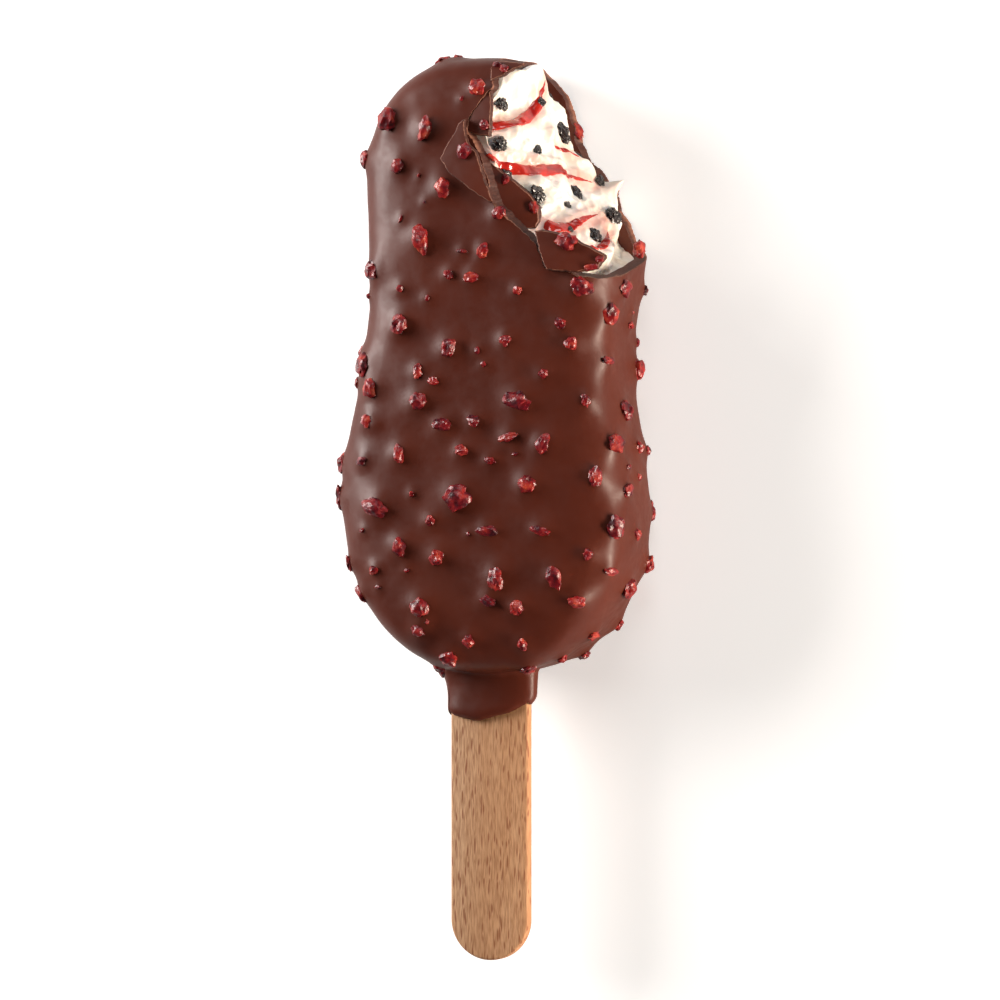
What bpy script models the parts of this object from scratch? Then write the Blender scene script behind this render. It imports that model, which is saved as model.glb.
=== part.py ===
"""An ice cream bar on a wooden stick, with one corner bitten off.

The bar lies on its back, which has a flat spot at z = 0. +X runs across the bar, +Y along it from
the stick to the bitten end, and +Z out of its front face. The origin is on the resting face, under
the middle of the whole bar. The pieces are drawn about the middle of the coated body, with x = 0
on the centreline of the stick, and an empty carries them from there. Lengths are in metres.

Sub-parts: the chocolate coating with its collar round the stick, the ice cream inside it, the
stick, five broken plates of coating at the bite, and the ripples of sauce that run through the
ice cream.
"""

import math

import bmesh
import bpy
from mathutils import Matrix, Vector

MM = 0.001
GAP = 0.3 * MM

# The coated body: a rounded slab with a waist. Each side's waist is (share of the reach it takes
# in, y, how far it runs along the bar).
BODY_HALF_LENGTH = 46.5 * MM
BODY_HALF_THICKNESS = 11.5 * MM
BODY_AXIS_X = 0.7 * MM
SECTION_POWER = 4.2
END_EDGE_POWER = 5.0
LOW_END_POWER = 2.4
HIGH_END_POWER = 2.54
LEFT_REACH = 26.9 * MM
LEFT_WAIST = (0.31, 9.8 * MM, 28.0 * MM)
RIGHT_REACH = 28.0 * MM
RIGHT_WAIST = (0.267, 0.6 * MM, 24.0 * MM)
FLAT_SPOT_DEPTH = 0.2 * MM
BODY_STATIONS = 16
BODY_SEGMENTS = 36

COAT_THICKNESS = 1.5 * MM
MIDDLE_Z = BODY_HALF_THICKNESS - FLAT_SPOT_DEPTH
FRONT_Z = MIDDLE_Z + BODY_HALF_THICKNESS

# The stick, a flat strip with round ends.
STICK_LENGTH = 94.0 * MM
STICK_WIDTH = 12.4 * MM
STICK_THICKNESS = 2.2 * MM
STICK_EDGE = 0.25 * MM
STICK_END_Y = -90.3 * MM
STICK_ARC_STEPS = 12

# The collar of coating round the stick, whose lower edge is slanted.
COLLAR_CENTRE_X = 0.2 * MM
COLLAR_HALF_WIDTH = 7.1 * MM
COLLAR_HALF_THICKNESS = 2.5 * MM
COLLAR_FLARE = 1.6 * MM
COLLAR_START_Y = -41.0 * MM
COLLAR_END_Y = -53.8 * MM
COLLAR_LOW_X = -2.5 * MM
COLLAR_RISE = 3.5 * MM
COLLAR_RISE_WIDTH = 9.7 * MM
COLLAR_POWER = 2.6
COLLAR_SEGMENTS = 28
COLLAR_STATIONS = 6

# The bite: a hollow over a plane across the far right corner, described in its own frame. "Along"
# runs up the bite towards the end of the bar, "across" from the back face to the front, "out" away
# from it.
BITE_CENTRE = Vector((10.4 * MM, 30.0 * MM, MIDDLE_Z))
BITE_HEADING = math.radians(29.7)
BITE_RISE = math.radians(20.7)
BITE_HALF_ALONG = 34 * MM
BITE_HALF_ACROSS = 22 * MM
BITE_CELLS_ALONG = 30
BITE_CELLS_ACROSS = 18
BITE_REACH = 45 * MM

# Where the visible ice cream ends at the back of the bite: (along, across) points in mm.
CREAM_BACK = (
    (19.0, 1.0), (15.6, -3.2), (13.2, -5.8), (8.9, -8.3), (2.9, -8.0), (-1.0, -8.4), (-3.6, -9.4),
    (-5.3, -11.6), (-6.8, -10.0), (-8.6, -8.8), (-12.1, -7.0), (-15.2, -2.7), (-17.3, 1.6),
    (-18.6, 6.5), (-20.0, 12.0),
)

# The broken rim of the coating as (x, y) corners in mm, from the end of the bar round to its side:
# one line on the front face and one on the back, joined by straight walls.
RIM_FRONT = (
    (2.9, 52), (2.8, 45.9), (2.4, 44.6), (3.3, 41.7), (1.3, 39.7), (-0.4, 37.2), (-0.5, 35.2),
    (2.2, 31.3), (3.4, 27.5), (4.6, 23.9), (7.1, 21.6), (10.8, 18.3), (12.6, 14.3), (18.8, 12.6),
    (32, 9),
)
RIM_BACK = (
    (5.6, 52), (6.4, 45.4), (7.4, 44.0), (9.6, 41.0), (10.5, 37.5), (11.2, 36.2), (11.1, 34.0),
    (12.5, 31.3), (14.1, 29.9), (15.0, 29.0), (15.6, 27.4), (17.6, 23.7), (19.0, 22.2),
    (20.4, 18.6), (32, 14),
)
RIM_OUTSIDE = (42, 62)

# The middle of the whole bar in the frame that the pieces are drawn in.
BAR_MIDDLE_X = 0.84 * MM
BAR_MIDDLE_Y = (STICK_END_Y + BODY_HALF_LENGTH) / 2

# Broken plates of coating: name, corners as seen from above in mm, their middle in mm, how high the
# top face stands over the middle of the bar there, its slopes along x and y, and thickness in mm.
PLATES = (
    ("coating_plate_left",
     ((0.0, 36.9), (-0.9, 36.2), (-3.8, 30.9), (-2.2, 28.7), (0.8, 26.5), (3.5, 24.6), (5.0, 24.0),
      (3.5, 27.8), (2.7, 30.4), (2.2, 31.8), (0.9, 32.8), (0.3, 34.4)),
     (0.0, 30.0), 12.75, (0.03, -0.05), 1.2),
    ("coating_plate_crack",
     ((3.5, 41.3), (1.6, 39.4), (0.4, 37.4), (0.0, 36.6), (-0.1, 35.0), (1.9, 34.4), (3.6, 34.2),
      (3.8, 37.1), (3.7, 39.7)),
     (2.0, 38.0), 10.4, (0.08, -0.12), 1.3),
    ("coating_plate_inner",
     ((1.4, 31.3), (2.6, 30.9), (5.9, 28.3), (8.0, 26.5), (9.0, 25.7), (10.4, 23.7), (10.5, 21.7),
      (10.1, 20.4), (8.9, 20.3), (5.4, 22.0), (3.5, 23.9), (2.2, 27.4)),
     (7.0, 25.5), 9.0, (-0.36, -0.12), 1.4),
    ("coating_plate_lower",
     ((11.1, 19.9), (12.2, 20.0), (15.0, 19.5), (17.5, 18.7), (19.0, 17.6), (21.9, 16.1),
      (21.9, 15.7), (20.7, 14.1), (18.0, 13.6), (13.2, 14.0), (11.9, 16.9), (11.4, 18.9)),
     (16.5, 17.0), 11.7, (-0.17, -0.12), 1.4),
    ("coating_plate_top",
     ((2.7, 44.6), (3.1, 45.5), (3.7, 45.9), (8.2, 45.4), (8.0, 44.9), (6.5, 44.4), (5.6, 43.6),
      (4.3, 43.0), (3.4, 42.6)),
     (5.8, 44.4), 8.4, (-0.05, -0.85), 1.5),
)

PLATE_CLEAR = 8 * MM

# Ripples of sauce: name, their line over the bite as (along, across) points in mm, their width in
# mm at the start, the middle and the end.
RIPPLES = (
    ("sauce_ripple_upper",
     ((9.1, 9.2), (8.1, 5.7), (8.3, 2.5), (9.6, -0.5), (11.8, -3.5), (13.0, -4.1)), (1.2, 1.5, 0.5)),
    ("sauce_ripple_middle",
     ((5.0, 11.6), (3.1, 9.9), (1.0, 6.6), (0.1, 4.1), (-0.6, -0.1), (-2.0, -1.8), (-3.8, -6.1)),
     (0.7, 1.8, 0.5)),
    ("sauce_ripple_short", ((3.4, -2.1), (2.3, -4.1), (0.5, -5.7)), (0.6, 0.8, 0.5)),
    ("sauce_ripple_lower",
     ((-9.0, 7.9), (-10.2, 5.9), (-9.9, 3.9), (-9.4, 0.8), (-9.3, -2.1)), (2.0, 1.2, 0.5)),
    ("sauce_ripple_hook",
     ((-12.6, -1.5), (-13.9, 0.2), (-14.8, 2.4), (-14.4, 4.4)), (0.7, 1.1, 0.9)),
)
RIPPLE_POINTS = 13
RIPPLE_DEPTH = 11 * MM
RIPPLE_CLEAR = 9 * MM

CHOCOLATE = ("chocolate", (0.105, 0.030, 0.018), 0.35)
CREAM = ("cream", (0.83, 0.72, 0.60), 0.45)
WOOD = ("beech", (0.50, 0.27, 0.12), 0.7)
SAUCE = ("sauce", (0.55, 0.02, 0.015), 0.15)


def clear_scene():
    for obj in list(bpy.data.objects):
        bpy.data.objects.remove(obj, do_unlink=True)


def new_collection(name):
    collection = bpy.data.collections.new(name)
    bpy.context.scene.collection.children.link(collection)
    return collection


def material(finish):
    """The Principled material of a (name, colour, roughness) finish."""
    name, colour, roughness = finish
    found = bpy.data.materials.get(name)
    if found:
        return found
    made = bpy.data.materials.new(name)
    made.use_nodes = True
    shader = made.node_tree.nodes["Principled BSDF"]
    shader.inputs["Base Color"].default_value = (*colour, 1.0)
    shader.inputs["Roughness"].default_value = roughness
    shader.inputs["Metallic"].default_value = 0.0
    return made


def add_object(name, mesh, collection, finish=None):
    obj = bpy.data.objects.new(name, mesh)
    obj.parent = CARRIER
    collection.objects.link(obj)
    if finish:
        mesh.materials.append(material(finish))
    return obj


def add_cutter(name, mesh):
    obj = add_object(name, mesh, CUTTERS)
    obj.hide_render = True
    obj.display_type = "WIRE"
    return obj


def boolean(obj, other, operation):
    """Adds a Boolean modifier; other is an object or a collection."""
    modifier = obj.modifiers.new(f"{operation.lower()} {other.name}", "BOOLEAN")
    modifier.operation = operation
    modifier.solver = "EXACT"
    if isinstance(other, bpy.types.Collection):
        modifier.operand_type = "COLLECTION"
        modifier.collection = other
    else:
        modifier.object = other


def smooth(mesh, angle=35):
    mesh.shade_smooth()
    mesh.set_sharp_from_angle(angle=math.radians(angle))


def mesh_from_bmesh(name, bm):
    bmesh.ops.recalc_face_normals(bm, faces=bm.faces)
    mesh = bpy.data.meshes.new(name)
    bm.to_mesh(mesh)
    bm.free()
    return mesh


def loft(rings, start=None, end=None):
    """A closed bmesh through rings of equal length. An end is a point to close to, or a flat face."""
    bm = bmesh.new()
    loops = [[bm.verts.new(point) for point in ring] for ring in rings]
    count = len(loops[0])
    for lower, upper in zip(loops, loops[1:]):
        for i in range(count):
            j = (i + 1) % count
            bm.faces.new((lower[i], lower[j], upper[j], upper[i]))
    for ring, tip in ((loops[0], start), (loops[-1], end)):
        if tip is None:
            bm.faces.new(ring)
            continue
        point = bm.verts.new(tip)
        for i in range(count):
            bm.faces.new((ring[i], ring[(i + 1) % count], point))
    return bm


def signed_power(value, power):
    return math.copysign(abs(value) ** power, value)


def superellipse(half_width, half_height, power, segments):
    """Points (x, z) of a superellipse, crowded where it turns."""
    points = []
    for i in range(segments):
        angle = math.tau * i / segments
        points.append((
            half_width * signed_power(math.cos(angle), 2 / power),
            half_height * signed_power(math.sin(angle), 2 / power),
        ))
    return points


# ---------------------------------------------------------------- body

def end_rounding(y, power):
    share = min(abs(y) / BODY_HALF_LENGTH, 1.0)
    return (1 - share ** power) ** (1 / power)


def waist(y, shape):
    depth, centre, reach = shape
    return 1 - depth * math.exp(-(((y - centre) / reach) ** 2))


def body_sides(y):
    """The body's left and right x at y."""
    rounding = end_rounding(y, LOW_END_POWER if y < 0 else HIGH_END_POWER)
    left = BODY_AXIS_X - LEFT_REACH * waist(y, LEFT_WAIST) * rounding
    right = BODY_AXIS_X + RIGHT_REACH * waist(y, RIGHT_WAIST) * rounding
    return left, right


def body_ring(y):
    left, right = body_sides(y)
    section = superellipse(
        (right - left) / 2, BODY_HALF_THICKNESS * end_rounding(y, END_EDGE_POWER),
        SECTION_POWER, BODY_SEGMENTS,
    )
    return [Vector(((left + right) / 2 + x, y, max(MIDDLE_Z + z, 0.0))) for x, z in section]


def body_mesh(name, inset=0.0):
    """The slab with its flat spot, drawn in by inset all over."""
    steps = range(1 - BODY_STATIONS, BODY_STATIONS)
    stations = [BODY_HALF_LENGTH * math.sin(math.pi / 2 * k / BODY_STATIONS) for k in steps]
    tips = [Vector((BODY_AXIS_X, y, MIDDLE_Z)) for y in (-BODY_HALF_LENGTH, BODY_HALF_LENGTH)]
    bm = loft([body_ring(y) for y in stations], *tips)
    bmesh.ops.recalc_face_normals(bm, faces=bm.faces)
    bm.normal_update()
    moves = [(vertex, vertex.normal * inset) for vertex in bm.verts]
    for vertex, move in moves:
        vertex.co -= move
    mesh = mesh_from_bmesh(name, bm)
    smooth(mesh)
    return mesh


# ---------------------------------------------------------------- collar and stick

def collar_mesh(name):
    """The sleeve of coating that ran down the stick, wider where it meets the body."""
    rings = []
    for k in range(COLLAR_STATIONS):
        share = k / (COLLAR_STATIONS - 1)
        flare = COLLAR_FLARE * (1 - share) ** 3
        ring = []
        for x, z in superellipse(COLLAR_HALF_WIDTH + flare, COLLAR_HALF_THICKNESS + flare,
                                 COLLAR_POWER, COLLAR_SEGMENTS):
            low_y = COLLAR_END_Y + COLLAR_RISE * ((x - COLLAR_LOW_X) / COLLAR_RISE_WIDTH) ** 2
            y = COLLAR_START_Y + (low_y - COLLAR_START_Y) * share
            ring.append(Vector((COLLAR_CENTRE_X + x, y, MIDDLE_Z + z)))
        rings.append(ring)
    end_tip = Vector((COLLAR_LOW_X, COLLAR_END_Y, MIDDLE_Z))
    mesh = mesh_from_bmesh(name, loft(rings, end=end_tip))
    smooth(mesh)
    return mesh


def stick_outline(grow):
    """The stick's flat outline: two straight sides and two half circles."""
    radius = STICK_WIDTH / 2 + grow
    low = STICK_END_Y + STICK_WIDTH / 2
    high = STICK_END_Y + STICK_LENGTH - STICK_WIDTH / 2
    points = []
    for centre_y, first_angle in ((high, 0.0), (low, math.pi)):
        for i in range(STICK_ARC_STEPS + 1):
            angle = first_angle + math.pi * i / STICK_ARC_STEPS
            points.append((radius * math.cos(angle), centre_y + radius * math.sin(angle)))
    return points


def outline_mesh(name, outline, thickness, edge=0.0):
    """A flat outline, thickened about z = 0, with eased edges if edge is given."""
    curve = bpy.data.curves.new(name, "CURVE")
    curve.dimensions = "2D"
    curve.fill_mode = "BOTH"
    curve.extrude = thickness / 2 - edge
    curve.bevel_depth = edge
    curve.bevel_resolution = 1
    curve.offset = -edge
    spline = curve.splines.new("POLY")
    spline.points.add(len(outline) - 1)
    for point, (x, y) in zip(spline.points, outline):
        point.co = (x, y, 0, 1)
    spline.use_cyclic_u = True
    holder = bpy.data.objects.new(name, curve)
    bpy.context.scene.collection.objects.link(holder)
    evaluated = holder.evaluated_get(bpy.context.evaluated_depsgraph_get())
    mesh = bpy.data.meshes.new_from_object(evaluated)
    bpy.data.objects.remove(holder)
    bm = bmesh.new()
    bm.from_mesh(mesh)
    bpy.data.meshes.remove(mesh)
    bmesh.ops.remove_doubles(bm, verts=bm.verts, dist=0.00001)
    return mesh_from_bmesh(name, bm)


def stick_mesh(name, grow=0.0):
    edge = 0.0 if grow else STICK_EDGE
    mesh = outline_mesh(name, stick_outline(grow), STICK_THICKNESS + 2 * grow, edge)
    mesh.transform(Matrix.Translation((0, 0, MIDDLE_Z)))
    smooth(mesh)
    return mesh


# ---------------------------------------------------------------- bite

def bite_axes():
    """Along, across and out, as unit vectors."""
    out = Vector((
        math.cos(BITE_RISE) * math.cos(BITE_HEADING),
        math.cos(BITE_RISE) * math.sin(BITE_HEADING),
        math.sin(BITE_RISE),
    ))
    along = Vector((-math.sin(BITE_HEADING), math.cos(BITE_HEADING), 0))
    return along, out.cross(along), out


def frame_matrix(x_axis, y_axis, z_axis, origin):
    matrix = Matrix((x_axis, y_axis, z_axis)).transposed().to_4x4()
    matrix.translation = origin
    return matrix


def bump(along, across, centre_along, centre_across, reach):
    """1 at the centre, falling smoothly to 0 at a few times reach."""
    square = (along - centre_along) ** 2 + (across - centre_across) ** 2
    return math.exp(-square / (reach * reach))


def inside_edge(along, across):
    """The distance in mm from the back edge of the visible ice cream, negative behind it."""
    nearest, side = 1e9, 1.0
    for start, end in zip(CREAM_BACK, CREAM_BACK[1:]):
        way = Vector(end) - Vector(start)
        gap = Vector((along, across)) - Vector(start)
        share = min(max(gap.dot(way) / way.length_squared, 0.0), 1.0)
        distance = (gap - way * share).length
        if distance < nearest:
            nearest = distance
            side = -math.copysign(1.0, way.cross(gap))
    return nearest * side


def cream_height(along, across):
    """How far the bitten ice cream stands out of the bite plane, in mm, at a point in mm."""
    hollow = 0.0135 * (along + 1.5) ** 2
    front_drop = -2.2 / (1 + math.exp(8.0 - across))
    back_drop = -4.2 / (1 + math.exp(min((inside_edge(along, across) - 0.1) / 0.5, 60.0)))
    ridges = 0.45 * math.cos(math.tau * (along - 6.5 + 0.12 * across) / 8.5)
    peak = 2.2 * bump(along, across, -5.6, -9.9, 1.8)
    tip = 1.2 * bump(along, across, 15.5, -1.0, 4.0)
    return hollow + front_drop + back_drop + ridges + peak + tip


def bite_cutter():
    """What the bite took: everything out from the height field over the bite plane."""
    bm = bmesh.new()
    bmesh.ops.create_grid(bm, x_segments=BITE_CELLS_ALONG, y_segments=BITE_CELLS_ACROSS, size=1.0)
    for vertex in bm.verts:
        along = vertex.co.x * BITE_HALF_ALONG
        across = vertex.co.y * BITE_HALF_ACROSS
        vertex.co = (along, across, cream_height(along / MM, across / MM) * MM)
    moved = bmesh.ops.extrude_face_region(bm, geom=bm.faces[:], use_keep_orig=True)["geom"]
    top = [item for item in moved if isinstance(item, bmesh.types.BMVert)]
    bmesh.ops.translate(bm, verts=top, vec=(0, 0, BITE_REACH))
    mesh = mesh_from_bmesh("bite", bm)
    mesh.transform(frame_matrix(*bite_axes(), BITE_CENTRE))
    return add_cutter("bite", mesh)


def rim_cutter():
    """What broke off the coating: a solid through the front and the back line of its rim."""
    clear = 4 * MM
    rings = []
    for share in (-clear / FRONT_Z, 1 + clear / FRONT_Z):
        ring = []
        for back, front in zip((*RIM_BACK, RIM_OUTSIDE), (*RIM_FRONT, RIM_OUTSIDE)):
            point = Vector(back).lerp(Vector(front), share) * MM
            ring.append(Vector((point.x, point.y, share * FRONT_Z)))
        rings.append(ring)
    bm = loft(rings)
    bmesh.ops.triangulate(bm, faces=bm.faces[:])
    return add_cutter("rim", mesh_from_bmesh("rim", bm))


# ---------------------------------------------------------------- plates

def grown_outline(outline, grow):
    """The outline with each side moved out by grow; its corners run anticlockwise or clockwise."""
    count = len(outline)
    points = [Vector(point) for point in outline]
    area = sum(points[i - 1].cross(points[i]) for i in range(count))
    turn = 1 if area > 0 else -1
    grown = []
    for i in range(count):
        before = (points[i] - points[i - 1]).normalized()
        after = (points[(i + 1) % count] - points[i]).normalized()
        outward = Vector((before.y + after.y, -before.x - after.x)) * turn
        outward.normalize()
        lean = max(abs(outward.dot(Vector((after.y, -after.x)))), 0.5)
        grown.append(points[i] + outward * grow / lean)
    return grown


def plate_mesh(name, plate, grow=0.0, rise=0.0):
    """A plate, sheared to its slopes, so that it keeps its outline as seen from above. Grow moves
    all its sides out, and rise its top face up."""
    _, corners, (middle_x, middle_y), height, (slope_x, slope_y), thickness = plate
    outline = [Vector((x - middle_x, y - middle_y)) * MM for x, y in corners]
    if grow:
        outline = grown_outline(outline, grow)
    mesh = outline_mesh(name, outline, thickness * MM + 2 * grow + rise)
    shear = Matrix.Identity(4)
    shear[2][0], shear[2][1] = slope_x, slope_y
    middle = Vector((middle_x, middle_y, height - thickness / 2)) * MM
    middle.z += MIDDLE_Z + rise / 2
    mesh.transform(Matrix.Translation(middle) @ shear)
    return mesh


# ---------------------------------------------------------------- ripples

def curve_point(points, share):
    """A point on the smooth curve through points; share runs from 0 to 1."""
    place = share * (len(points) - 1)
    i = min(int(place), len(points) - 2)
    t = place - i
    before, here = points[max(i - 1, 0)], points[i]
    there, after = points[i + 1], points[min(i + 2, len(points) - 1)]
    return 0.5 * (
        2 * here + (there - before) * t
        + (2 * before - 5 * here + 4 * there - after) * t * t
        + (3 * here - before - 3 * there + after) * t ** 3
    )


def ripple_outline(ripple, grow):
    """A band along the ripple's line, whose width follows its three given widths."""
    _, line, widths = ripple
    points = [Vector(point) * MM for point in line]
    left, right = [], []
    for k in range(RIPPLE_POINTS):
        share = k / (RIPPLE_POINTS - 1)
        here = curve_point(points, share)
        ahead = curve_point(points, min(share + 0.02, 1.0)) - curve_point(points, max(share - 0.02, 0.0))
        side = Vector((-ahead.y, ahead.x)).normalized()
        start, middle, end = (width * MM for width in widths)
        half = (start + (middle - start) * 2 * share if share < 0.5
                else middle + (end - middle) * (2 * share - 1)) / 2
        stretch = ahead.normalized() * grow * (-1 if k == 0 else 1 if k == RIPPLE_POINTS - 1 else 0)
        left.append(here + side * (half + grow) + stretch)
        right.append(here - side * (half + grow) + stretch)
    return left + right[::-1]


def ripple_mesh(name, ripple, grow=0.0):
    """The band, run level into the bar, so that it keeps its height over the back."""
    length = RIPPLE_DEPTH + RIPPLE_CLEAR + grow
    mesh = outline_mesh(name, ripple_outline(ripple, grow), length)
    mesh.transform(Matrix.Translation((0, 0, RIPPLE_CLEAR - length / 2)))
    along, across, _ = bite_axes()
    level = Vector((math.cos(BITE_HEADING), math.sin(BITE_HEADING), 0))
    mesh.transform(frame_matrix(along, across, level, BITE_CENTRE))
    return mesh


# ---------------------------------------------------------------- assembly

def build_coating(bore, rim, pockets):
    coating = add_object("coating", body_mesh("coating"), PARTS, CHOCOLATE)
    boolean(coating, add_cutter("collar", collar_mesh("collar")), "UNION")
    hollow = add_cutter("coating_hollow", body_mesh("coating_hollow", COAT_THICKNESS))
    for cutter in (hollow, bore, rim, *pockets):
        boolean(coating, cutter, "DIFFERENCE")


def build_ice_cream(bore, bite, clearings):
    cream = add_object("ice_cream", body_mesh("ice_cream", COAT_THICKNESS + GAP), PARTS, CREAM)
    boolean(cream, bore, "DIFFERENCE")
    boolean(cream, bite, "DIFFERENCE")
    for ripple in RIPPLES:
        name = f"{ripple[0]}_slot"
        boolean(cream, add_cutter(name, ripple_mesh(name, ripple, GAP)), "DIFFERENCE")
    for clearing in clearings:
        boolean(cream, clearing, "DIFFERENCE")


def build_ripples(bite, clearings):
    inside = add_cutter("inside", body_mesh("inside", COAT_THICKNESS + GAP))
    for ripple in RIPPLES:
        obj = add_object(ripple[0], ripple_mesh(ripple[0], ripple), PARTS, SAUCE)
        boolean(obj, inside, "INTERSECT")
        boolean(obj, bite, "DIFFERENCE")
        for clearing in clearings:
            boolean(obj, clearing, "DIFFERENCE")


def build_plates():
    """The plates, and the cutters that leave room for them in the coating and the ice cream."""
    pockets, clearings = [], []
    for plate in PLATES:
        name = plate[0]
        add_object(name, plate_mesh(name, plate), PARTS, CHOCOLATE)
        pocket = f"{name}_pocket"
        pockets.append(add_cutter(pocket, plate_mesh(pocket, plate, GAP)))
        clearing = f"{name}_clearing"
        clearings.append(add_cutter(clearing, plate_mesh(clearing, plate, GAP, PLATE_CLEAR)))
    return pockets, clearings


clear_scene()
PARTS = new_collection("ice_cream_bar")
CUTTERS = new_collection("cutters")
CARRIER = bpy.data.objects.new("carrier", None)
CARRIER.location = (-BAR_MIDDLE_X, -BAR_MIDDLE_Y, 0)
PARTS.objects.link(CARRIER)
stick_bore = add_cutter("stick_bore", stick_mesh("stick_bore", GAP))
bite_solid = bite_cutter()
add_object("stick", stick_mesh("stick"), PARTS, WOOD)
plate_pockets, plate_clearings = build_plates()
build_coating(stick_bore, rim_cutter(), plate_pockets)
build_ice_cream(stick_bore, bite_solid, plate_clearings)
build_ripples(bite_solid, plate_clearings)
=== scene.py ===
"""The look of an ice cream bar: a chocolate coating full of red fruit pieces, broken at a bitten
corner that shows rippled ice cream with dark fruit pieces, on a flat beech stick.

Shapes are drawn in millimetres in the drawing frame: x = 0 on the centreline of the stick, y = 0 at
the middle of the coated body, z = 0 at the middle of its thickness, with +y towards the bitten end
and +z out of the front face. put_mesh() carries them to the CAD frame.
"""

import math
import random

import bmesh
import bpy
import numpy as np
from mathutils import Matrix, Vector, noise
from mathutils.bvhtree import BVHTree


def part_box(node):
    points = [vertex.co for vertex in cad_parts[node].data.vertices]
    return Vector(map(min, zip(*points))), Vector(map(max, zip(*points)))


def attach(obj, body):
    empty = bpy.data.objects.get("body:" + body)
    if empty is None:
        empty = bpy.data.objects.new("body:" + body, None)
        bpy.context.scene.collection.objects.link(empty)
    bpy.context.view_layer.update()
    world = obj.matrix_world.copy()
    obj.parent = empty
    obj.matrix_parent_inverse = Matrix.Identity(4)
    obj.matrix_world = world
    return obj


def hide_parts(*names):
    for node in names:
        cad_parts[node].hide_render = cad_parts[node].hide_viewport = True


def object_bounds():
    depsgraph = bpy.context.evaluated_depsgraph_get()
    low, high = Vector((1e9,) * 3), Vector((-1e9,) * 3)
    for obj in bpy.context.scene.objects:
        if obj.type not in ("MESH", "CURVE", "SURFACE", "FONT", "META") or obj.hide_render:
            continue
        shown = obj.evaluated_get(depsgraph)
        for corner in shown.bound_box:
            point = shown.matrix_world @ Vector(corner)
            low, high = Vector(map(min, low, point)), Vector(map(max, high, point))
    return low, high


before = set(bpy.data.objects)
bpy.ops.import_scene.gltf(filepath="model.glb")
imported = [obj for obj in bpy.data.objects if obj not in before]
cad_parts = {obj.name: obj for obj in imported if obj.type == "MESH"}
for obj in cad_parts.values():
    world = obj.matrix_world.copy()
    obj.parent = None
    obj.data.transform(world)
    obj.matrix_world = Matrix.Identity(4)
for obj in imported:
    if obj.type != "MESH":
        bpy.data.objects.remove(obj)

CAD_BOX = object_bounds()
STICK_LOW, STICK_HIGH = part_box("stick")

MM = 0.001

# The coated body.
BODY_HALF_LENGTH = 46.5
BODY_HALF_THICKNESS = 11.5
BODY_AXIS_X = 0.7
SECTION_POWER = 4.2
END_EDGE_POWER = 5.0
LOW_END_POWER = 2.4
HIGH_END_POWER = 2.54
LEFT_REACH = 26.9
LEFT_WAIST = (0.31, 9.8, 28.0)
RIGHT_REACH = 28.0
RIGHT_WAIST = (0.267, 0.6, 24.0)
COAT_THICKNESS = 1.5
REST_Z = -11.3
COAT_VOXEL = 0.42

# The stick and the collar of coating round it.
STICK_LENGTH = 94.0
STICK_WIDTH = 12.4
STICK_THICKNESS = 2.2
STICK_END_Y = -90.3
COLLAR_CENTRE_X = 0.2
COLLAR_HALF_WIDTH = 7.1
COLLAR_HALF_THICKNESS = 2.5
COLLAR_FLARE = 1.6
COLLAR_START_Y = -41.0
COLLAR_END_Y = -53.8
COLLAR_LOW_X = -2.5
COLLAR_RISE = 3.5
COLLAR_RISE_WIDTH = 9.7
COLLAR_LIP = 1.3

# The bite: a hollow over a plane across the far right corner, with its own frame. "Along" runs up
# the bite towards the end of the bar, "across" from the back to the front, "out" away from it.
BITE_CENTRE = (10.4, 30.0, 0.0)
BITE_HEADING = math.radians(29.7)
BITE_RISE = math.radians(20.7)
BITE_ALONG = (-25.0, 24.0)
BITE_ACROSS = (-18.0, 20.0)
BITE_CELL = 0.2
BITE_REACH = 45.0

# The broken rim of the coating, on the front face and on the back: (x, y) corners.
RIM_FRONT = (
    (2.9, 52), (2.8, 45.9), (2.4, 44.6), (3.3, 41.7), (1.3, 39.7), (-0.4, 37.2), (-0.5, 35.2),
    (2.2, 31.3), (3.4, 27.5), (4.6, 23.9), (7.1, 21.6), (10.8, 18.3), (12.6, 14.3), (18.8, 12.6),
    (32, 9),
)
RIM_BACK = (
    (5.6, 52), (6.4, 45.4), (7.4, 44.0), (9.6, 41.0), (10.5, 37.5), (11.2, 36.2), (11.1, 34.0),
    (12.5, 31.3), (14.1, 29.9), (15.0, 29.0), (15.6, 27.4), (17.6, 23.7), (19.0, 22.2),
    (20.4, 18.6), (32, 14),
)
RIM_OUTSIDE = (42, 62)

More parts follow.
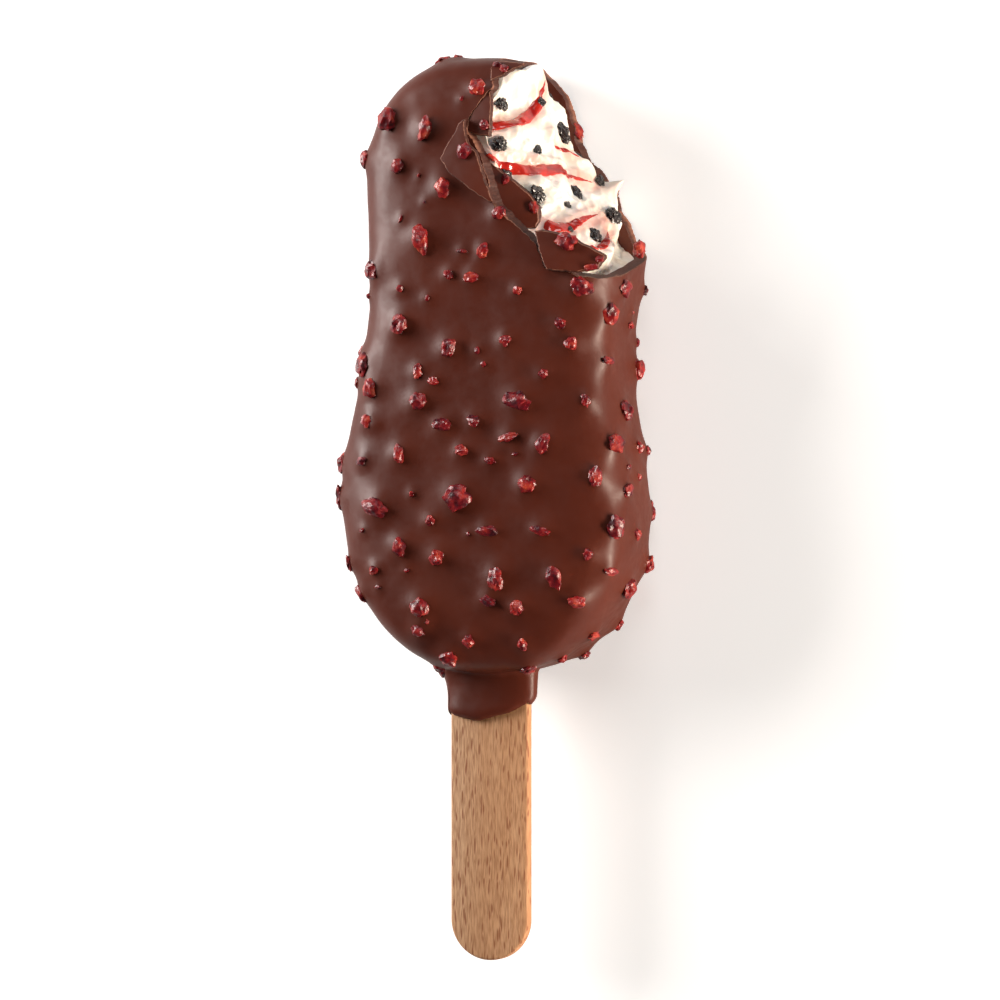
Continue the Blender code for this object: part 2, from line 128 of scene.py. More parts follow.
# Broken plates: name, corners as seen from above, their middle, the height of the top face there,
# its slopes along x and y, thickness.
PLATES = (
    ("coating_plate_left",
     ((0.0, 36.9), (-0.9, 36.2), (-3.8, 30.9), (-2.2, 28.7), (0.8, 26.5), (3.5, 24.6), (5.0, 24.0),
      (3.5, 27.8), (2.7, 30.4), (2.2, 31.8), (0.9, 32.8), (0.3, 34.4)),
     (0.0, 30.0), 12.75, (0.03, -0.05), 1.2),
    ("coating_plate_crack",
     ((3.5, 41.3), (1.6, 39.4), (0.4, 37.4), (0.0, 36.6), (-0.1, 35.0), (1.9, 34.4), (3.6, 34.2),
      (3.8, 37.1), (3.7, 39.7)),
     (2.0, 38.0), 10.4, (0.08, -0.12), 1.3),
    ("coating_plate_inner",
     ((1.4, 31.3), (2.6, 30.9), (5.9, 28.3), (8.0, 26.5), (9.0, 25.7), (10.4, 23.7), (10.5, 21.7),
      (10.1, 20.4), (8.9, 20.3), (5.4, 22.0), (3.5, 23.9), (2.2, 27.4)),
     (7.0, 25.5), 9.0, (-0.36, -0.12), 1.4),
    ("coating_plate_lower",
     ((11.1, 19.9), (12.2, 20.0), (15.0, 19.5), (17.5, 18.7), (19.0, 17.6), (21.9, 16.1),
      (21.9, 15.7), (20.7, 14.1), (18.0, 13.6), (13.2, 14.0), (11.9, 16.9), (11.4, 18.9)),
     (16.5, 17.0), 11.7, (-0.17, -0.12), 1.4),
    ("coating_plate_top",
     ((2.7, 44.6), (3.1, 45.5), (3.7, 45.9), (8.2, 45.4), (8.0, 44.9), (6.5, 44.4), (5.6, 43.6),
      (4.3, 43.0), (3.4, 42.6)),
     (5.8, 44.4), 8.4, (-0.05, -0.85), 1.5),
)
PLATE_CHAMFER = 0.2
PLATE_CELL = 0.4

# Ripples of sauce: name, their line over the bite as (along, across) points, their width at the
# start, the middle and the end.
RIPPLES = (
    ("sauce_ripple_upper",
     ((9.1, 9.2), (8.1, 5.7), (8.3, 2.5), (9.6, -0.5), (11.8, -3.5), (13.0, -4.1)), (1.5, 1.8, 0.3)),
    ("sauce_ripple_middle",
     ((5.0, 11.6), (3.1, 9.9), (1.0, 6.6), (0.1, 4.1), (-0.6, -0.1), (-2.0, -1.8), (-3.8, -6.1)),
     (0.5, 2.3, 0.3)),
    ("sauce_ripple_short", ((3.4, -2.1), (2.3, -4.1), (0.5, -5.7)), (0.3, 0.9, 0.3)),
    ("sauce_ripple_lower",
     ((-8.6, 8.6), (-10.0, 5.9), (-9.9, 3.9), (-9.4, 0.8), (-9.3, -2.1)), (2.9, 1.3, 0.2)),
    ("sauce_ripple_hook",
     ((-12.6, -1.5), (-13.9, 0.2), (-14.8, 2.4), (-14.4, 4.8)), (0.4, 1.1, 0.9)),
)
RIPPLE_STEPS = 60
RIPPLE_SIDES = 14
RIPPLE_BULGE = 0.3
RIPPLE_SINK = 0.7

# Dark fruit pieces on the bite: along, across, width, length.
DARK_PIECES = (
    (11.4, 6.8, 2.1, 2.6), (9.9, -1.2, 1.5, 1.5), (11.0, -6.5, 1.1, 1.7), (5.2, -5.2, 2.3, 3.3),
    (5.7, 8.9, 2.7, 2.4), (3.4, 2.4, 1.5, 2.2), (1.0, -7.5, 1.2, 2.0), (1.3, 9.1, 2.1, 1.7),
    (-3.8, -7.9, 1.3, 2.0), (-3.5, 6.9, 2.9, 2.6), (-4.8, -1.5, 1.7, 2.6), (-6.3, 1.8, 1.3, 1.2),
    (-10.2, -5.0, 2.6, 2.6), (-10.6, 5.4, 1.3, 1.0), (-12.7, 1.4, 2.1, 2.3),
)

# Red fruit pieces on the front face: x, y, width, length.
FRONT_PIECES = (
    (-13, 37, 3.0, 3.5), (-6.5, 35.5, 2.0, 3.6), (-11, 30, 1.7, 2.1), (-7.5, 28.5, 0.5, 0.6),
    (-3.5, 26.5, 2.2, 2.6), (-6.5, 24.5, 0.6, 0.6), (-7, 19, 2.4, 4.1), (-10.5, 22, 0.5, 1.2),
    (1.5, 41.5, 2.2, 2.4), (-1, 40, 0.6, 0.8), (5.5, 22.5, 2.2, 1.7), (-0.5, 17, 1.6, 0.6),
    (3, 17, 1.7, 2.1), (-15.5, 14.5, 2.4, 2.7), (-2.5, 13.5, 1.4, 1.4), (1, 13, 2.2, 1.5),
    (-10.5, 11.5, 1.1, 1.1), (8.5, 11, 1.3, 1.2), (-6, 10, 0.8, 1.1), (-10.5, 6, 2.4, 2.6),
    (-2.5, 2.5, 2.2, 2.7), (6.5, 3.5, 1.7, 1.5), (2, 2, 0.8, 1.1), (3, 0, 0.8, 0.8),
    (15, 6, 1.6, 1.5), (16.5, 3, 1.9, 1.8), (12.5, -1.5, 1.4, 1.4), (-17, 0, 2.4, 3.2),
    (-15.5, -3.5, 2.0, 2.6), (-7.5, -1, 1.4, 2.1), (-5, -2.5, 1.6, 1.2), (-7.5, -5.5, 2.5, 2.7),
    (8.5, -5.5, 3.8, 2.4), (18.5, -5.5, 1.3, 1.8), (1.5, -8.5, 1.9, 1.7), (-3.5, -9, 2.7, 1.7),
    (-16, -8.5, 1.7, 1.8), (-14.5, -9, 0.9, 0.5), (7, -11, 2.7, 1.1), (12.5, -12, 2.0, 2.9),
    (-10.5, -13.5, 1.6, 2.7), (-0.5, -13, 1.9, 1.5), (4, -14.5, 1.6, 1.1), (8, -13.5, 0.9, 0.5),
    (-17, -14.5, 1.7, 1.2), (10, -18, 2.7, 2.4), (20, -17, 2.0, 2.6), (-1, -20, 3.9, 3.6),
    (-14.5, -21.5, 3.9, 2.4), (-8.5, -19.5, 0.8, 0.9), (-5.5, -23.5, 1.3, 1.5),
    (3.5, -25, 3.0, 1.5), (12, -25, 3.0, 1.2), (0.5, -25.5, 0.6, 0.6), (-17, -25, 0.9, 0.6),
    (18, 11.5, 3.1, 2.6), (-10.5, -27.5, 2.0, 2.7), (-4.5, -29, 2.0, 2.0), (-15, -31, 1.4, 1.4),
    (-9.5, -31, 0.9, 0.6), (-14.5, -33.5, 1.1, 0.6), (5, -32, 2.2, 3.3), (14, -32, 2.0, 3.0),
    (19, -28.5, 1.3, 1.5), (8.5, -42, 1.4, 1.7), (17, -35.5, 2.4, 1.7), (3.5, -35.5, 2.5, 1.5),
    (8, -36.5, 2.0, 2.0), (-7.5, -36.5, 2.7, 2.7), (-6.5, -38.5, 1.1, 1.2), (-8, -40, 1.9, 1.8),
    (0, -41.5, 1.6, 1.8), (-3.5, -44, 2.5, 2.4),
)

# Red fruit pieces on the right side: y, z, width, length.
SIDE_PIECES = (
    (11.5, 4, 3.0, 2.3), (11.5, -7, 1.7, 1.4), (7.5, 7, 2.7, 3.3), (8, -2, 0.7, 0.5),
    (6, -1.5, 1.7, 1.1), (3.5, -7, 1.0, 1.2), (0.5, 6.5, 2.7, 1.1), (-0.5, -5.5, 2.7, 2.9),
    (-7, 2.5, 2.7, 2.7), (-12, 7, 3.0, 2.6), (-12.5, -1.5, 1.7, 1.8), (-13, -7, 2.0, 1.5),
    (-15.5, 4, 1.4, 0.8), (-17, 0, 1.0, 1.1), (-19, 5.5, 2.4, 1.7), (-24.5, 8, 2.8, 3.2),
    (-25.5, 2, 2.0, 1.5), (-31, 7.5, 2.4, 1.2), (-30, -6.5, 2.4, 2.7), (-33.5, 0.5, 3.0, 2.9),
    (-39, -6.5, 3.0, 1.8), (-40.5, 2.5, 2.6, 1.5), (-43.5, -6, 2.6, 1.7), (17.5, 0.5, 2.6, 2.4),
)

# Red fruit pieces round the edge of the front face: x, y, z, width, length.
EDGE_PIECES = (
    (-18.5, 31.5, 7, 2.1, 2.8), (-16.5, 10.5, 8, 0.9, 0.9), (-18.5, 2, 7, 1.5, 2.1),
    (-19, -2.5, 7, 1.1, 1.7), (-22, -20, 6.5, 1.7, 3.6), (-20, -30, 7.5, 1.1, 2.6),
    (-18, -34.5, 7.5, 1.2, 2.7), (-6.5, -46, 5.5, 1.8, 1.2), (-6, 46, 4.5, 2.1, 1.5),
    (-4, 46, 4, 1.5, 1.4), (8, -45.5, 6, 2.4, 1.8),
)

# Red fruit pieces on the broken plates: plate, x, y, width, length.
PLATE_PIECES = (
    (0, 0.3, 31.9, 2.0, 2.3), (1, 2.8, 35.9, 1.4, 1.4), (2, 5.6, 27.8, 1.1, 1.5),
    (2, 9.7, 23.6, 1.2, 1.8), (3, 16.2, 18.2, 3.0, 2.4), (3, 21.1, 15.5, 1.2, 0.9),
    (3, 19.9, 14.3, 2.1, 0.9), (4, 3.8, 45.1, 1.2, 0.9), (4, 5.1, 44.4, 1.2, 1.2),
)

# Red fruit pieces on the broken rim of the back: x, y, z, width, length.
RIM_PIECES = ((10.1, 36.0, -10.2, 1.6, 2.8), (16.2, 27.0, -10.0, 1.3, 1.6))

# Pieces scattered over the sides that aren't shown, and the least room between them.
HIDDEN_PIECES = 62
HIDDEN_SPACING = 4.6

# How far a piece is drawn past its visible size, since its rim is under the coating.
PIECE_FULLNESS = 1.15

# The coating's swelling over a piece: a base, a share of the piece's size and, for the height, a
# limit.
SWELL_HEIGHT = (0.04, 0.26, 0.72)
SWELL_REACH = (0.55, 0.66)

# The camera: the frame's centre to the right and up, its width in metres, the turn in degrees, and
# the lens and sensor in mm.
VIEW_CENTRE = (1.3, -20.4)
VIEW_WIDTH = 0.152
VIEW_TURN = 20
LENS = 220
SENSOR = 36

FLOOR_DEPTH = 0.02
FLOOR_REACH = 900
FLOOR_GLOW = 0.44
SKY_STRENGTH = 0.13

# Where the drawing frame's origin lies in the CAD frame, in metres.
ORIGIN = np.array((
    (STICK_LOW[0] + STICK_HIGH[0]) / 2,
    STICK_LOW[1] - STICK_END_Y * MM,
    (STICK_LOW[2] + STICK_HIGH[2]) / 2,
))


# ---------------------------------------------------------------- meshes

def put_mesh(name, points, faces):
    """A mesh from points of the drawing frame, in mm."""
    mesh = bpy.data.meshes.new(name)
    mesh.from_pydata((np.asarray(points) * MM + ORIGIN).tolist(), [], faces)
    return mesh


def drawn_points(mesh):
    """The mesh's points back in the drawing frame, in mm."""
    flat = np.empty(len(mesh.vertices) * 3, dtype=np.float32)
    mesh.vertices.foreach_get("co", flat)
    return (flat.reshape(-1, 3).astype(float) - ORIGIN) / MM


def move_points(mesh, points):
    mesh.vertices.foreach_set("co", (points * MM + ORIGIN).astype(np.float32).ravel())
    mesh.update()


def normals_of(mesh):
    flat = np.empty(len(mesh.vertices) * 3, dtype=np.float32)
    mesh.vertices.foreach_get("normal", flat)
    return flat.reshape(-1, 3).astype(float)


def recalc(mesh):
    bm = bmesh.new()
    bm.from_mesh(mesh)
    bmesh.ops.recalc_face_normals(bm, faces=bm.faces)
    bm.to_mesh(mesh)
    bm.free()
    return mesh


def add_object(name, mesh, *materials):
    obj = bpy.data.objects.new(name, mesh)
    bpy.context.scene.collection.objects.link(obj)
    for item in materials:
        mesh.materials.append(item)
    return obj


def baked(obj, name):
    """The object's evaluated mesh as a mesh of its own; the object is removed."""
    bpy.context.view_layer.update()
    evaluated = obj.evaluated_get(bpy.context.evaluated_depsgraph_get())
    mesh = bpy.data.meshes.new_from_object(evaluated)
    mesh.name = name
    bpy.data.objects.remove(obj, do_unlink=True)
    return mesh


def carve(obj, cutters, operation="DIFFERENCE"):
    """Applies the cutters, one after the other, with their materials, and removes them."""
    name = obj.name
    for cutter in cutters:
        modifier = obj.modifiers.new("cut", "BOOLEAN")
        modifier.object = cutter
        modifier.operation = operation
        modifier.solver = "MANIFOLD"
        modifier.material_mode = "TRANSFER"
    mesh = baked(obj, name)
    for cutter in cutters:
        bpy.data.objects.remove(cutter, do_unlink=True)
    return mesh


def finish_piece(name, mesh, node_names, angle=35):
    mesh.shade_smooth()
    mesh.set_sharp_from_angle(angle=math.radians(angle))
    obj = bpy.data.objects.new(name, mesh)
    bpy.context.scene.collection.objects.link(obj)
    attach(obj, "root")
    if node_names:
        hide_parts(*node_names)
    return obj


def loft(rings, start=None, end=None):
    """Points and faces through rings of equal length. An end is a point, or None for a flat face."""
    count = len(rings[0])
    points = [point for ring in rings for point in ring]
    faces = []
    for k in range(len(rings) - 1):
        for i in range(count):
            j = (i + 1) % count
            faces.append((k * count + i, k * count + j, (k + 1) * count + j, (k + 1) * count + i))
    for first, tip in ((0, start), ((len(rings) - 1) * count, end)):
        if tip is None:
            faces.append(tuple(range(first, first + count)))
            continue
        points.append(tip)
        for i in range(count):
            faces.append((first + i, first + (i + 1) % count, len(points) - 1))
    return points, faces


# ---------------------------------------------------------------- body

def end_rounding(y, power):
    return (1 - min(abs(y) / BODY_HALF_LENGTH, 1.0) ** power) ** (1 / power)


def waist(y, shape):
    depth, centre, reach = shape
    return 1 - depth * math.exp(-(((y - centre) / reach) ** 2))


def body_sides(y):
    rounding = end_rounding(y, LOW_END_POWER if y < 0 else HIGH_END_POWER)
    left = BODY_AXIS_X - LEFT_REACH * waist(y, LEFT_WAIST) * rounding
    right = BODY_AXIS_X + RIGHT_REACH * waist(y, RIGHT_WAIST) * rounding
    return left, right


def superellipse(half_width, half_height, power, segments):
    angles = np.arange(segments) * math.tau / segments
    x = half_width * np.sign(np.cos(angles)) * np.abs(np.cos(angles)) ** (2 / power)
    z = half_height * np.sign(np.sin(angles)) * np.abs(np.sin(angles)) ** (2 / power)
    return x, z


def body_shape(stations, segments, inset=0.0):
    """Points and faces of the body without its flat spot, drawn in by inset."""
    rings = []
    for k in range(1 - stations, stations):
        y = BODY_HALF_LENGTH * math.sin(math.pi / 2 * k / stations)
        left, right = body_sides(y)
        x, z = superellipse(
            (right - left) / 2, BODY_HALF_THICKNESS * end_rounding(y, END_EDGE_POWER),
            SECTION_POWER, segments,
        )
        rings.append([((left + right) / 2 + px, y, pz) for px, pz in zip(x, z)])
    tips = [(BODY_AXIS_X, end, 0.0) for end in (-BODY_HALF_LENGTH, BODY_HALF_LENGTH)]
    points, faces = loft(rings, *tips)
    if inset:
        mesh = recalc(put_mesh("inset", points, faces))
        points = drawn_points(mesh) - normals_of(mesh) * inset
        bpy.data.meshes.remove(mesh)
    return points, faces


def collar_shape():
    """The sleeve of coating round the stick; its lower edge is rounded over onto the stick."""
    rings = []
    shares = [0, 0.12, 0.25, 0.4, 0.6, 0.8]
    lips = [0.0] * len(shares)
    for k in range(1, 9):
        turn = math.pi / 2 * k / 8
        shares.append(1 - (1 - math.sin(turn)) * 0.1)
        lips.append(COLLAR_LIP * (1 - math.cos(turn)))
    for share, lip in zip(shares, lips):
        flare = COLLAR_FLARE * (1 - min(share, 1.0)) ** 3
        x, z = superellipse(
            COLLAR_HALF_WIDTH + flare - lip * 0.6, COLLAR_HALF_THICKNESS + flare - lip, 2.6, 72)
        ring = []
        for px, pz in zip(x, z):
            slant = COLLAR_RISE * ((px - COLLAR_LOW_X) / COLLAR_RISE_WIDTH) ** 2
            drip = 0.8 * math.exp(-(((px - 6.6) / 1.0) ** 2)) * (1 if pz > 0 else 0.3)
            wobble = 0.25 * math.sin(px * 1.1 + 0.5) * (1 if pz > 0 else -1)
            low_y = COLLAR_END_Y + slant - drip + wobble * 0.6
            ring.append((COLLAR_CENTRE_X + px, COLLAR_START_Y + (low_y - COLLAR_START_Y) * share, pz))
        rings.append(ring)
    return loft(rings, end=(COLLAR_LOW_X, COLLAR_END_Y + 0.4, 0.0))


def smoothed(mesh, rounds):
    """Evens out the mesh's points along its edges, first in and then back out."""
    edges = np.empty(len(mesh.edges) * 2, dtype=np.int32)
    mesh.edges.foreach_get("vertices", edges)
    edges = edges.reshape(-1, 2)
    count = len(mesh.vertices)
    valence = np.bincount(edges.ravel(), minlength=count)[:, None]
    points = drawn_points(mesh)
    for _ in range(rounds):
        for strength in (0.5, -0.52):
            sums = np.zeros_like(points)
            for axis in range(3):
                sums[:, axis] = (
                    np.bincount(edges[:, 0], points[edges[:, 1], axis], count)
                    + np.bincount(edges[:, 1], points[edges[:, 0], axis], count)
                )
            points += strength * (sums / valence - points)
    move_points(mesh, points)


# ---------------------------------------------------------------- bite

def bite_axes():
    out = Vector((
        math.cos(BITE_RISE) * math.cos(BITE_HEADING),
        math.cos(BITE_RISE) * math.sin(BITE_HEADING),
        math.sin(BITE_RISE),
    ))
    along = Vector((-math.sin(BITE_HEADING), math.cos(BITE_HEADING), 0))
    return along, out.cross(along), out


ALONG, ACROSS, OUT = bite_axes()


def bite_point(along, across, height):
    return Vector(BITE_CENTRE) + ALONG * along + ACROSS * across + OUT * height


def bump(along, across, centre_along, centre_across, reach):
    square = (along - centre_along) ** 2 + (across - centre_across) ** 2
    return math.exp(-square / (reach * reach))


def crest(along, across, start, end, reach):
    """1 on the line from start to end, falling smoothly away from it."""
    line = Vector(end) - Vector(start)
    offset = Vector((along, across)) - Vector(start)
    share = min(max(offset.dot(line) / line.length_squared, 0.0), 1.0)
    gap = (offset - line * share).length
    return math.exp(-((gap / reach) ** 2))


def inside_edge(along, across):
    """The distance from the back edge of the visible ice cream, negative behind it."""
    nearest, side = 1e9, 1.0
    for start, end in zip(CREAM_BACK, CREAM_BACK[1:]):
        way = (end[0] - start[0], end[1] - start[1])
        gap = (along - start[0], across - start[1])
        share = (gap[0] * way[0] + gap[1] * way[1]) / (way[0] ** 2 + way[1] ** 2)
        share = min(max(share, 0.0), 1.0)
        distance = math.hypot(gap[0] - way[0] * share, gap[1] - way[1] * share)
        if distance < nearest:
            nearest = distance
            side = -math.copysign(1.0, way[0] * gap[1] - way[1] * gap[0])
    return nearest * side


def ridged(point, scale, seed):
    """Noise from 0 to 1 with sharp crests."""
    return 1 - abs(noise.noise(Vector(point) / scale + Vector((seed, seed * 1.7, 0))))


# Where the visible ice cream ends at the back of the bite: (along, across) points.
CREAM_BACK = (
    (19.0, 1.0), (15.6, -3.2), (13.2, -5.8), (8.9, -8.3), (2.9, -8.0), (-1.0, -8.4), (-3.6, -9.4),
    (-5.3, -11.6), (-6.8, -10.0), (-8.6, -8.8), (-12.1, -7.0), (-15.2, -2.7), (-17.3, 1.6),
    (-18.6, 6.5), (-20.0, 12.0),
)

# Folds of the bitten ice cream: start and end as (along, across), reach, height.
FOLDS = (
    ((12.5, 8.5), (15.8, -1.0), 1.6, 0.9),
    ((12.5, -0.5), (5.2, -1.6), 1.1, 0.9),
    ((5.2, -1.6), (2.6, -1.2), 0.9, 0.6),
    ((7.0, 8.0), (6.4, 2.0), 1.0, 0.5),
    ((4.6, 9.6), (2.2, 3.4), 0.7, 0.5),
    ((2.2, 3.4), (0.6, -2.0), 0.7, 0.6),
    ((4.5, 4.8), (3.4, -0.4), 0.6, 0.4),
    ((1.6, -4.0), (-1.8, -8.8), 0.9, 0.6),
    ((-1.4, 5.6), (-5.0, 3.2), 1.0, 0.7),
    ((-3.2, 2.6), (-6.6, 0.4), 0.7, 0.6),
    ((-6.4, -1.0), (-5.6, -9.0), 1.4, 0.8),
    ((-8.6, 4.0), (-7.6, -3.0), 0.8, 0.4),
    ((-11.4, -2.0), (-16.4, 1.6), 1.0, 0.5),
    ((-13.0, -7.0), (-18.0, 0.5), 1.4, 0.6),
    ((10.4, 3.6), (9.2, 7.4), 1.7, -0.7),
    ((4.6, 6.6), (3.0, 5.4), 1.1, -0.6),
    ((-3.0, 4.8), (-4.2, 6.6), 1.0, -0.5),
    ((-11.8, -3.0), (-12.6, -0.4), 0.9, -0.5),
)


def cream_height(along, across):
    """How far the bitten ice cream stands out of the bite plane at a point."""
    hollow = 0.0135 * (along + 1.5) ** 2
    front_drop = -2.2 / (1 + math.exp(8.0 - across))
    back_drop = -4.5 / (1 + math.exp(min((inside_edge(along, across) - 0.1) / 0.35, 60.0)))
    ridges = 0.45 * math.cos(math.tau * (along - 6.5 + 0.12 * across) / 8.5)
    gap = math.hypot(along + 5.4, across + 10.3)
    peak = 2.6 * math.exp(-((gap / 1.3) ** 1.1))
    shoulder = 0.7 * bump(along, across, -6.4, -8.6, 2.4)
    gap = math.hypot(along + 0.4, across + 9.4)
    flick = 1.5 * math.exp(-((gap / 0.6) ** 1.2))
    tip = 1.2 * bump(along, across, 15.5, -1.0, 4.0)
    point = (along, across, 0.0)
    folds = sum(height * crest(along, across, start, end, reach)
                for start, end, reach, height in FOLDS)
    lumps = 0.75 * (ridged(point, 4.2, 3.0) - 0.8) + 0.55 * (ridged(point, 1.9, 9.0) - 0.8)
    grain = 0.16 * (ridged(point, 0.9, 5.0) - 0.8) + 0.05 * noise.noise(Vector(point) * 2.6)
    dimples = -0.35 * sum(bump(along, across, a, b, 0.62 * max(w, l)) for a, b, w, l in DARK_PIECES)
    return (hollow + front_drop + back_drop + ridges + peak + shoulder + flick + tip + folds
            + lumps + grain + dimples)


def bite_cutter(material):
    """A slab over the bite whose underside is the bitten surface."""
    along_cells = round((BITE_ALONG[1] - BITE_ALONG[0]) / BITE_CELL)
    across_cells = round((BITE_ACROSS[1] - BITE_ACROSS[0]) / BITE_CELL)
    points, faces = [], []
    for i in range(along_cells + 1):
        along = BITE_ALONG[0] + i * BITE_CELL
        for j in range(across_cells + 1):
            across = BITE_ACROSS[0] + j * BITE_CELL
            points.append(bite_point(along, across, cream_height(along, across)))
    row = across_cells + 1
    for i in range(along_cells):
        for j in range(across_cells):
            corner = i * row + j
            faces.append((corner, corner + 1, corner + row + 1, corner + row))
    edge = (
        [i * row for i in range(along_cells)]
        + [along_cells * row + j for j in range(across_cells)]
        + [i * row + across_cells for i in range(along_cells, 0, -1)]
        + list(range(across_cells, 0, -1))
    )
    top = len(points)
    points += [points[i] + OUT * (BITE_REACH - (points[i] - Vector(BITE_CENTRE)).dot(OUT)) for i in edge]
    points.append(bite_point(0, 0, BITE_REACH))
    count = len(edge)
    for k in range(count):
        following = (k + 1) % count
        faces.append((edge[k], edge[following], top + following, top + k))
        faces.append((top + k, top + following, top + count))
    return add_object("bite", recalc(put_mesh("bite", [tuple(p) for p in points], faces)), material)


def jagged(outline, step, amount, seed):
    """The closed outline resampled every step, with small breaks off its straight lines."""
    corners = [Vector(point) for point in outline]
    points = []
    for here, there in zip(corners, corners[1:] + corners[:1]):
        length = (there - here).length
        parts = max(1, round(length / step))
        side = Vector((here.y - there.y, there.x - here.x)).normalized()
        for k in range(parts):
            spot = here.lerp(there, k / parts)
            wave = noise.noise(Vector((spot.x * 0.9, spot.y * 0.9, seed)))
            chip = noise.noise(Vector((spot.x * 3.1, spot.y * 3.1, seed + 5)))
            points.append(spot + side * amount * (wave + 0.6 * chip))
    return points


def resampled(line, count):
    """The open line as count points, evenly spread over its corners."""
    corners = [Vector(point) for point in line]
    points = []
    for k in range(count):
        place = k / (count - 1) * (len(corners) - 1)
        i = min(int(place), len(corners) - 2)
        points.append(corners[i].lerp(corners[i + 1], place - i))
    return points


def rim_share(z):
    """The share of the way from the back line of the rim to its front line at a height."""
    return (z - REST_Z) / (BODY_HALF_THICKNESS - REST_Z)


def rim_cutter(material):
    """What broke off the coating, between jagged lines on its front and its back."""
    count, layers, clear = 260, 14, 4.0
    front, back = resampled(RIM_FRONT, count), resampled(RIM_BACK, count)
    rings = []
    for k in range(layers + 1):
        z = REST_Z - clear + k / layers * (BODY_HALF_THICKNESS - REST_Z + 2 * clear)
        share = rim_share(z)
        ring = []
        for i in range(count):
            spot = back[i].lerp(front[i], share)
            ahead = back[min(i + 1, count - 1)].lerp(front[min(i + 1, count - 1)], share)
            behind = back[max(i - 1, 0)].lerp(front[max(i - 1, 0)], share)
            way = (ahead - behind).normalized()
            wave = noise.noise(Vector((spot.x * 0.7, spot.y * 0.7, z * 0.35)))
            chip = noise.noise(Vector((spot.x * 2.6, spot.y * 2.6, z * 0.9)))
            spot = spot + Vector((-way.y, way.x)) * (0.28 * wave + 0.14 * chip)
            ring.append((spot.x, spot.y, z))
        ring.append((*RIM_OUTSIDE, z))
        rings.append(ring)
    return add_object("rim", recalc(put_mesh("rim", *loft(rings))), material)


# ---------------------------------------------------------------- plates

def plate_height(plate, x, y):
    """The height of a plate's top face, which bows a little."""
    _, _, (middle_x, middle_y), height, (slope_x, slope_y), _ = plate
    bow = -0.012 * ((x - middle_x) ** 2 + (y - middle_y) ** 2)
    lumps = 0.05 * noise.noise(Vector((x * 0.5, y * 0.5, height)))
    return height + slope_x * (x - middle_x) + slope_y * (y - middle_y) + bow + lumps


def plate_slab(plate, material):
    """A slab with the plate's top and bottom faces, wider than the plate."""
    _, corners, _, _, _, thickness = plate
    xs = [x for x, _ in corners]
    ys = [y for _, y in corners]
    columns = round((max(xs) - min(xs) + 2) / PLATE_CELL)
    rows = round((max(ys) - min(ys) + 2) / PLATE_CELL)
    bm = bmesh.new()
    bmesh.ops.create_grid(bm, x_segments=columns, y_segments=rows, size=1.0)
    bottom = bm.verts[:]
    moved = bmesh.ops.extrude_face_region(bm, geom=bm.faces[:], use_keep_orig=True)["geom"]
    top = {item for item in moved if isinstance(item, bmesh.types.BMVert)}
    for vertex in [*bottom, *top]:
        x = (min(xs) + max(xs)) / 2 + vertex.co.x * ((max(xs) - min(xs)) / 2 + 1)
        y = (min(ys) + max(ys)) / 2 + vertex.co.y * ((max(ys) - min(ys)) / 2 + 1)
        drop = 0.0 if vertex in top else thickness
        vertex.co = (x, y, plate_height(plate, x, y) - drop)
    bm.verts.index_update()
    points = [tuple(v.co) for v in bm.verts]
    faces = [tuple(v.index for v in face.verts) for face in bm.faces]
    bm.free()
    return add_object(plate[0], recalc(put_mesh(plate[0], points, faces)), material)


def shrunk(outline, amount):
    """The outline with each point moved in by amount."""
    count = len(outline)
    area = sum(outline[i - 1].cross(outline[i]) for i in range(count))
    turn = 1 if area > 0 else -1
    points = []
    for i in range(count):
        way = (outline[(i + 2) % count] - outline[i - 2]).normalized()
        points.append(outline[i] - Vector((way.y, -way.x)) * turn * amount)
    return points


def plate_prism(plate, seed, material):
    """The plate's jagged outline as a prism that leans in at the top and bottom faces."""
    name, corners, _, _, _, thickness = plate
    outline = jagged(corners, 0.35, 0.16, seed)
    rings = []
    for drop, inset in ((-3.0, PLATE_CHAMFER + 0.3), (0.0, PLATE_CHAMFER), (PLATE_CHAMFER, 0.0),
                        (thickness * 0.55, -0.06), (thickness, 0.12), (thickness + 1.0, 0.4)):
        ring = []
        for place, point in zip(outline, shrunk(outline, inset)):
            ring.append((point.x, point.y, plate_height(plate, point.x, point.y) - drop))
        rings.append(ring)
    return add_object(f"{name}_outline", recalc(put_mesh(name, *loft(rings))), material)


def plate_clearing(plate):
    """The room over a plate's underside that the ice cream leaves free."""
    name, corners, _, _, _, thickness = plate
    outline = shrunk(jagged(corners, 0.5, 0.1, 2.0), -0.05)
    rings = []
    for lift in (-thickness - 0.02, 10.0):
        rings.append([(p.x, p.y, plate_height(plate, p.x, p.y) + lift) for p in outline])
    return add_object(f"{name}_clearing", recalc(put_mesh(name, *loft(rings))), MATERIALS["cream"])


# ---------------------------------------------------------------- sauce

def curve_point(points, share):
    place = share * (len(points) - 1)
    i = min(int(place), len(points) - 2)
    t = place - i
    before, here = points[max(i - 1, 0)], points[i]
    there, after = points[i + 1], points[min(i + 2, len(points) - 1)]
    return 0.5 * (
        2 * here + (there - before) * t
        + (2 * before - 5 * here + 4 * there - after) * t * t
        + (3 * here - before - 3 * there + after) * t ** 3
    )


def ripple_width(widths, share):
    start, middle, end = widths
    low, high = (start, middle) if share < 0.5 else (middle, end)
    t = share * 2 if share < 0.5 else share * 2 - 1
    return low + (high - low) * t * t * (3 - 2 * t)


